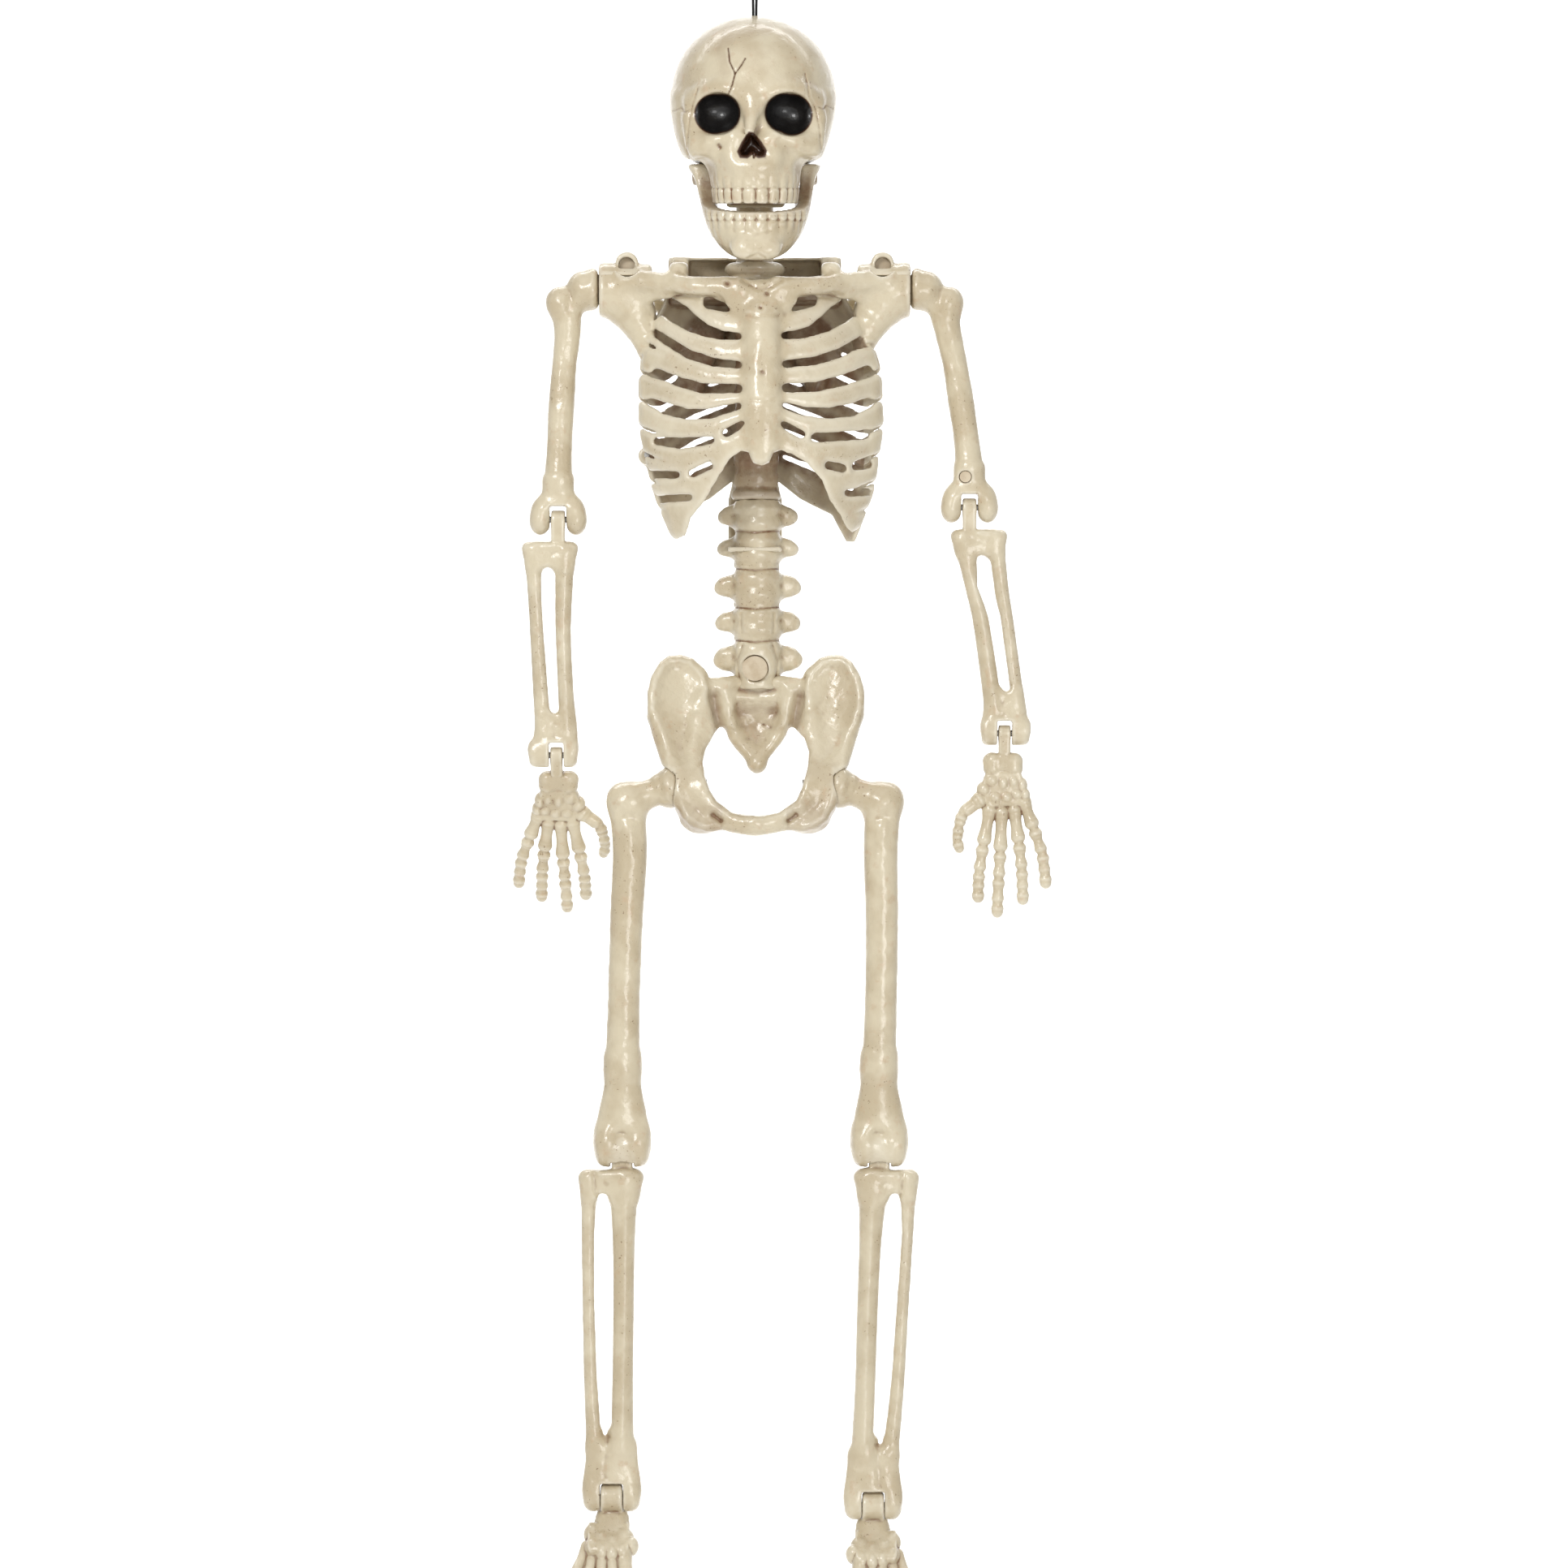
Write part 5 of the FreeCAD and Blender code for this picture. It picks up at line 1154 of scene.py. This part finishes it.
# The right hand hanging from its wrist pin, seen from the front. Each finger: its joints as (x, z)
# measured from the pin, the first being its root in the palm.
FINGERS = [
    [(11.0, -35.5), (23.8, -45.2), (25.8, -52.6), (26.8, -60.5), (25.0, -67.4)],
    [(7.6, -40.0), (12.1, -63.2), (14.3, -78.4), (14.9, -88.8), (14.9, -95.0)],
    [(1.4, -41.0), (2.4, -67.1), (3.2, -81.9), (3.9, -96.3), (4.0, -103.8)],
    [(-4.9, -40.0), (-8.2, -62.0), (-9.8, -76.9), (-10.3, -88.9), (-10.6, -96.8)],
    [(-9.8, -36.0), (-16.6, -53.8), (-21.4, -67.9), (-23.0, -79.6), (-23.6, -87.6)],
]
CARPALS = [  # (x, z, half width, half height) of the small wrist bones
    (-5.2, -27.4, 3.5, 4.4), (0.6, -28.4, 3.4, 5.0), (7.2, -26.8, 4.5, 4.4), (-10.0, -29.6, 2.8, 4.2),
    (11.4, -31.8, 4.0, 4.2), (-7.0, -34.6, 4.0, 3.6), (-1.4, -36.4, 4.2, 4.0), (5.4, -36.4, 4.6, 4.2),
    (-11.6, -35.0, 2.8, 3.6),
]


def hand_clay():
    c = Clay((-33, -12, -112), (36, 12, 8), 0.5)
    c.add(block(-7.4, 8.6, -3.4, 3.6, -23, -12, 2.0), blend=1)
    c.add(egg((-5.4, 0, -15.8), (5.2, 4.6, 4.8)), egg((7.0, 0, -15.8), (5.4, 4.6, 5.0)),
          egg((-5.6, 0, -20.5), (4.8, 4.4, 3.8)), egg((6.8, 0, -20.5), (5.0, 4.4, 3.8)), blend=2.5)
    for x, z, half_x, half_z in CARPALS:
        c.add(egg((x, 0, z), (half_x * 1.12, 5.0, half_z * 1.12)), blend=0.3)
    c.add(plate([(-9, -21), (10, -21), (14, -31), (10, -42), (-9, -41), (-13, -33)], -3.9, 3.9, 1.0),
          blend=0.4)
    for finger in FINGERS:
        sizes = [(4.5, 3.4, 4.2), (3.9, 2.9, 3.7), (3.7, 3.0, 3.6), (3.7, 3.3, 1.8)]
        if finger is FINGERS[0]:
            sizes = [(4.9, 3.8, 3.8), (3.6, 2.8, 3.4), (3.4, 2.8, 3.2), (3.3, 2.8, 1.5)]
        curl = [0.0, -1.2, -0.8, 0.4, 1.0]
        for i, (p, q) in enumerate(zip(finger, finger[1:])):
            a, b = np.array([p[0], curl[i], p[1]]), np.array([q[0], curl[i + 1], q[1]])
            u = (b - a) / np.linalg.norm(b - a)
            head, waist, tail = sizes[i]
            a2, b2 = a + u * head * 0.85, b - u * tail * (0.8 if i < 3 else 0.9)
            bone = bone_run([(*a2, head), (*(a2 * 0.66 + b2 * 0.34), waist),
                             (*(a2 * 0.34 + b2 * 0.66), waist), (*b2, tail)], (1, 0.94, 1))
            c.add(bone, blend=0.7)
            if i:
                c.add(rod(a - u * 1.2, a + u * 1.2, waist * 0.9), blend=0.3)
                c.press([(a2[0] + 0.6 * head * u[2], a2[2] - 0.6 * head * u[0]),
                         (a2[0] - 0.6 * head * u[2], a2[2] + 0.6 * head * u[0])], -0.25, 0.9, 3)
    c.worked(0.08)
    hinge_tongue(c, 0, 0, 3.4, 4.7, 4.4, 12, blend=0.5)
    c.add(block(-3.4, 3.6, -4.4, 4.4, -21, -11, 1.5), blend=1.5)
    pin_hole(c, 0, 0, 20)
    return c


def hands():
    c = hand_clay()
    for name, arm in ARMS.items():
        place = hung(arm["wrist"], arm["side"], arm["bend"])
        piece(f"hand_{name}_look", c, f"hand_body_{name}", [f"hand_{name}"], None, place, arm["side"] > 0)


# ---- legs ----
def femur(name, leg):
    s = leg["side"]
    xs, kx = leg["shaft_x"], leg["knee_x"]
    low_x, high_x = sorted((s * 30, s * 98))
    c = Clay((low_x, -18, KNEE_Z - 16), (high_x, 18, -482), 0.75)
    c.add(drum(0, s * 35.0, s * 50.0, (0, HIP_Z), 6.6, 0.4), blend=0.5)
    c.add(drum(0, s * 45.0, s * 50.5, (0, HIP_Z), 11.6, 1.4, 11.2), blend=0.8)
    c.add(bone_run([(s * 50, 0, HIP_Z, 10.2), (s * 57, 0, HIP_Z - 2.5, 8.2), (s * 66, 0, HIP_Z - 6, 9.0)]),
          blend=4)
    c.add(egg((xs[0] + s * 0.5, 0, HIP_Z - 8), (10.6, 10.4, 11.4)), blend=4)
    c.add(egg((xs[0] + s * 4.5, 1, HIP_Z - 5.5), (6.6, 8.0, 7.4)), blend=3)
    c.add(bone_run([(xs[0], 0, HIP_Z - 10, 10.0), (xs[0] * 0.5 + xs[1] * 0.5, -0.5, -528, 9.9),
                    (xs[1], -1.5, -545, 9.7), (xs[2], -3, -580, 9.3), (xs[3], -3, -625, 9.1),
                    (xs[4], -1.5, -665, 9.6)]), blend=5)
    c.add(column([(-655, xs[4], -1.5, 9.6, 9.4), (-676, xs[4], -1.0, 10.8, 9.4), (-690, kx, 0, 13.6, 10.0),
                  (-702, kx, 0, 15.6, 10.8)], 3.0), blend=5)
    for side in (-1, 1):
        c.add(egg((kx + side * 8.6, 0, KNEE_Z + 2.6), (8.0, 11.4, 13.4)), blend=3.5)
        c.add(drum(0, kx + side * 6.4, kx + side * 14.6, (0, KNEE_Z), 11.0, 3.0), blend=2)
    c.add(drum(0, kx - 8, kx + 8, (0, KNEE_Z), 11.2, 1.0), blend=2)
    c.press([(xs[0] - s * 2.5, HIP_Z - 17), (xs[0] + s * 1.5, HIP_Z - 16)], 1.5, 3.4, 0)
    c.press([(xs[0] - s * 6, HIP_Z - 20), (xs[1] - s * 4.5, -542)], 0.5, 2.4, 0)
    c.press([(xs[0] + s * 5, HIP_Z - 20), (xs[1] + s * 4.5, -538)], 0.4, 2.4, 0)
    c.press([(kx, -700), (kx, -716)], 0.6, 4.6, 0)
    c.worked(0.15)
    c.cut(block(kx - 6.6, kx + 6.6, -6.2, 40, KNEE_Z - 40, KNEE_Z, 0.3), blend=0.6)
    c.cut(drum(0, kx - 6.6, kx + 6.6, (0, KNEE_Z), 8.8, 0.3), blend=0.6)
    c.cut(block(kx - 6.6, kx + 6.6, 0, 40, KNEE_Z - 2, KNEE_Z + 8.8, 0.3), blend=0.6)
    c.cut(block(kx - 24, kx + 24, 8.0, 40, KNEE_Z, KNEE_Z + 28, 0.8), blend=1.0)
    piece(f"femur_{name}_look", c, f"thigh_{name}", [f"femur_{name}"])


def lower_leg(name, leg):
    s = leg["side"]
    kx, px = leg["knee_x"], leg["plate_x"]
    ax, az = leg["ankle"]
    zp, zl = KNEE_Z - 12.9, az + 30.0
    c = Clay((min(px, ax) - 28, -14, az - 10), (max(px, ax) + 28, 14, KNEE_Z + 11), 0.75)
    c.add(column([(zp, px, 0, 17.4, 8.0), (zp - 4, px, 0, 18.2, 8.2), (zp - 9, px, 0, 16.4, 7.0),
                  (zp - 17, px, 0, 14.4, 6.0)], 2.2, 2.7), blend=1)
    mx, mz = (px + ax) / 2, (zp + zl) / 2
    c.add(bone_run([(px - s * 7.0, 0, zp - 8, 8.4), (px * 0.75 + ax * 0.25 - s * 7.0, -0.8, zp - 40, 6.4),
                    (mx - s * 6.8, -1, mz, 6.0), (px * 0.25 + ax * 0.75 - s * 6.0, -0.5, zl + 35, 6.2),
                    (ax - s * 5.0, 0, zl - 2, 7.6)]), blend=6)
    c.add(bone_run([(px + s * 12.6, 0, zp - 8, 4.6), (px * 0.75 + ax * 0.25 + s * 13.0, 0.6, zp - 45, 3.9),
                    (mx + s * 12.8, 1, mz, 3.7), (px * 0.25 + ax * 0.75 + s * 11.8, 0.5, zl + 35, 3.9),
                    (ax + s * 9.5, 0, zl - 2, 4.8)]), blend=6)
    c.add(column([(zl + 2, ax, 0, 13.8, 5.6), (zl - 10, ax, 0, 15.0, 6.4), (az + 10, ax, 0, 16.0, 6.8),
                  (az + 2, ax, 0, 15.6, 6.9)], 1.8, 2.3), blend=4)
    c.add(drum(0, ax - 15.4, ax + 15.4, (0, az), 6.9, 2.6), blend=2)
    c.add(egg((ax - 10.5, 0, az + 3), (5.8, 6.8, 11)), egg((ax + 10.5, 0, az + 3), (5.8, 6.8, 11)), blend=3)
    c.cut(slot([(px + s * 4.8, zp - 16, 2.6), (px + s * 5.2, zp - 36, 3.7), (mx + s * 4.8, mz, 3.9),
                (ax + s * 3.0, zl + 12, 2.6)], -30, 30), blend=2.6)
    c.press([(px - 8, zp - 5), (px - 2, zp - 7), (px + 4, zp - 5)], 1.0, 3.2, 0)
    c.press([(px + s * 9.5, zp - 3), (px + s * 8.5, zp - 13)], 0.9, 1.8, 0)
    c.press([(ax + s * 2.5, zl + 4), (ax + s * 3.6, az + 12)], 0.9, 2.4, 0)
    c.press([(px - s * 8.4, zp - 22), (mx - s * 7.4, mz), (ax - s * 6.0, zl + 6)], -0.6, 2.6, 0)
    c.worked(0.14)
    hinge_slot(c, ax, az, 13.1, 5.8)
    hinge_tongue(c, kx, KNEE_Z, 5.8, 7.9, 5.2, 15)
    pin_hole(c, kx, KNEE_Z, 30)
    piece(f"lower_leg_{name}_look", c, f"shin_{name}", [f"lower_leg_{name}"])


# The right foot flat on the ground, measured from the ankle pin. Each toe: (x, y) of its root,
# knuckle, middle joint and tip, and its radius.
TOES = [
    [(6.2, -27), (10.6, -57), (11.8, -72), (12.0, -86), 5.4],
    [(0.8, -29), (2.0, -61), (2.8, -73), (3.0, -84), 4.2],
    [(-4.4, -29), (-6.2, -60), (-6.6, -72), (-6.6, -82), 4.0],
    [(-9.4, -26), (-14.0, -55), (-15.2, -67), (-15.4, -77), 3.8],
    [(-12.8, -21), (-20.8, -46), (-23.0, -59), (-23.4, -69), 3.7],
]


def foot_clay():
    c = Clay((-30, -96, -32), (30, 26, 12), 0.55)
    c.add(egg((0, 5, -17.5), (8.8, 14.5, 7.6)), blend=2)
    c.add(bone_run([(0, -1.5, -8, 5.4), (0.2, -6, -11.5, 7.4), (-0.5, -15, -14.0, 8.0),
                    (-1.2, -26, -16, 6.8)], (1.3, 1, 0.8)), blend=4)
    stones = [(7.0, -20, 5.4), (0.6, -23.5, 5.2), (-5.8, -21.5, 5.0), (-10.6, -16.5, 4.6), (6.6, -29.5, 4.6),
              (0.8, -31, 4.2), (-4.8, -30, 4.2), (-10.2, -26.5, 4.4), (11.0, -25, 4.2)]
    for x, y, r in stones:
        c.add(egg((x, y, -12.4 + 0.05 * y), (r * 1.12, r * 1.3, 6.0)), blend=0.3)
    for toe in TOES:
        *joints, r = toe
        tops = [-14.6, -18.6, -19.5, -21.0]
        sizes = [(0.98, 0.82, 1.06), (0.98, 0.76, 0.95), (0.92, 0.76, 0.70)]
        for i, (p, q) in enumerate(zip(joints, joints[1:])):
            a, b = np.array([*p, tops[i]]), np.array([*q, tops[i + 1]])
            u = (b - a) / np.linalg.norm(b - a)
            head, waist, tail = [k * r for k in sizes[i]]
            a2, b2 = a + u * head * 0.8, b - u * tail * 0.75
            c.add(bone_run([(*a2, head), (*(a2 * 0.6 + b2 * 0.4), waist), (*b2, tail)], (1, 1, 0.95)),
                  blend=0.6)
            if i:
                c.add(rod(a - u * 1.5, a + u * 1.5, waist * 0.9), blend=0.3)
    c.add(plate([(-13, -8.2), (10, -8.2), (10, -21), (-15, -21)], -33, -10, 2.0), blend=0.4)
    c.add(plate([(-19, -15.5), (11, -15.5), (11, -21), (-19, -21)], -52, -30, 2.0), blend=0.6)
    c.worked(0.12)
    c.cut(drum(0, -22, 22, (0, 0), 8.2, 0.2), blend=0.6)
    hinge_tongue(c, 0, 0, 6.15, 7.4, 6.4, 9, 0.9, 0.8)
    pin_hole(c, 0, 0, 30)
    return c


def feet():
    c = foot_clay()
    for name, leg in LEGS.items():
        place = hung(leg["ankle"], leg["side"], FOOT_DOWN)
        piece(f"foot_{name}_look", c, f"foot_body_{name}", [f"foot_{name}"], None, place, leg["side"] > 0)


# ---- cord, hardware, stage ----
def hanging_cord():
    """The loop of cord, both ends down through the crown."""
    knot_z = -72.9
    side = [(0.85, knot_z), (0.85, -58.0), (1.8, -40.0), (3.8, -22.0), (5.3, -9.0), (5.8, -1.74)]
    route = side + [(0.0, 1.61)] + [(-x, z) for x, z in reversed(side)]
    curve = bpy.data.curves.new("hanging_cord_look", "CURVE")
    curve.dimensions = "3D"
    spline = curve.splines.new("NURBS")
    spline.points.add(len(route) - 1)
    for point, (x, z) in zip(spline.points, route):
        point.co = (x * MM, 0.0, z * MM, 1.0)
    spline.order_u = 3
    spline.use_endpoint_u = True
    spline.resolution_u = 12
    curve.bevel_depth = 0.0008
    curve.bevel_resolution = 4
    curve.use_fill_caps = True
    curve.materials.append(MATERIALS["black_cord"])
    obj = bpy.data.objects.new("hanging_cord_look", curve)
    bpy.context.scene.collection.objects.link(obj)
    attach(obj, "head")
    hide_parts("hanging_cord")


def dress_cad():
    """The small CAD parts keep their shapes and take the finish of their slot."""
    slots = {n: m["slot"] for m in frame["record"]["materials"] for n in m.get("nodes", [])}
    for name, obj in frame["nodes"].items():
        kind = slots.get(name) or guess_slot(name)
        obj.data.materials.clear()
        obj.data.materials.append(MATERIALS[kind])


def guess_slot(name):
    if "screw" in name:
        return "screw_steel"
    if "pin" in name and "spine" not in name:
        return "pin_steel"
    if "plug" in name or "peg" in name:
        return "plug_plastic"
    return "black_cord" if "cord" in name else "bone_plastic"


def stage():
    """A pale sweep behind and below, soft light from the front and above."""
    profile = [(-3.0, -1.35), (2.2, -1.35), (3.0, -1.2), (3.4, -0.8), (3.6, 0.2), (3.6, 3.5)]
    verts, faces = [], []
    for y, z in profile:
        verts += [(-6.0, y, z), (6.0, y, z)]
    for i in range(len(profile) - 1):
        faces.append((2 * i, 2 * i + 1, 2 * i + 3, 2 * i + 2))
    mesh = bpy.data.meshes.new("sweep")
    mesh.from_pydata(verts, [], faces)
    for face in mesh.polygons:
        face.use_smooth = True
    mat, tree, shader, coords = new_material("sweep_paper")
    grain = noise(tree, coords, 3.0)
    paper = mixed(tree, grain, (0.93, 0.93, 0.93, 1), (0.90, 0.90, 0.90, 1))
    tree.links.new(paper, shader.inputs["Base Color"])
    shader.inputs["Roughness"].default_value = 0.9
    mesh.materials.append(mat)
    sweep = bpy.data.objects.new("sweep", mesh)
    bpy.context.scene.collection.objects.link(sweep)

    world = bpy.data.worlds.new("studio")
    bpy.context.scene.world = world
    world.use_nodes = True
    world.node_tree.nodes["Background"].inputs["Color"].default_value = (1.0, 1.0, 1.0, 1.0)
    world.node_tree.nodes["Background"].inputs["Strength"].default_value = 0.48
    add_light("key", (-0.8, -2.0, 0.5), (0, 0, -0.4), 21.0, 0.6)
    add_light("fill", (0.8, -2.6, -0.6), (0, 0, -0.4), 16.0, 0.9)
    add_light("top", (0.1, -1.0, 1.3), (0, 0, -0.4), 6.0, 1.6)
    add_light("backdrop", (0.0, 1.2, 1.6), (0, 3.4, -0.2), 130.0, 2.5)
    bpy.context.scene.view_settings.view_transform = "Standard"


def add_light(name, where, target, power, size):
    data = bpy.data.lights.new(name, "AREA")
    data.energy = power
    data.size = size
    obj = bpy.data.objects.new(name, data)
    obj.location = where
    obj.rotation_euler = (Vector(target) - Vector(where)).to_track_quat("-Z", "Y").to_euler()
    bpy.context.scene.collection.objects.link(obj)


def camera():
    data = bpy.data.cameras.new("camera")
    data.sensor_width = 36.0
    data.lens = 120.0
    obj = bpy.data.objects.new("camera", data)
    obj.location = (CAMERA_X * MM, CAMERA_Y * MM, CAMERA_Z * MM)
    obj.rotation_euler = (math.radians(90), 0.0, 0.0)
    bpy.context.scene.collection.objects.link(obj)
    bpy.context.scene.camera = obj


skull()
jaw()
neck()
ribcage_front()
ribcage_rear()
lumbar_spine()
pelvis()
for name, arm in ARMS.items():
    humerus(name, arm)
    forearm(name, arm)
hands()
for name, leg in LEGS.items():
    femur(name, leg)
    lower_leg(name, leg)
feet()
hanging_cord()
dress_cad()
stage()
camera()
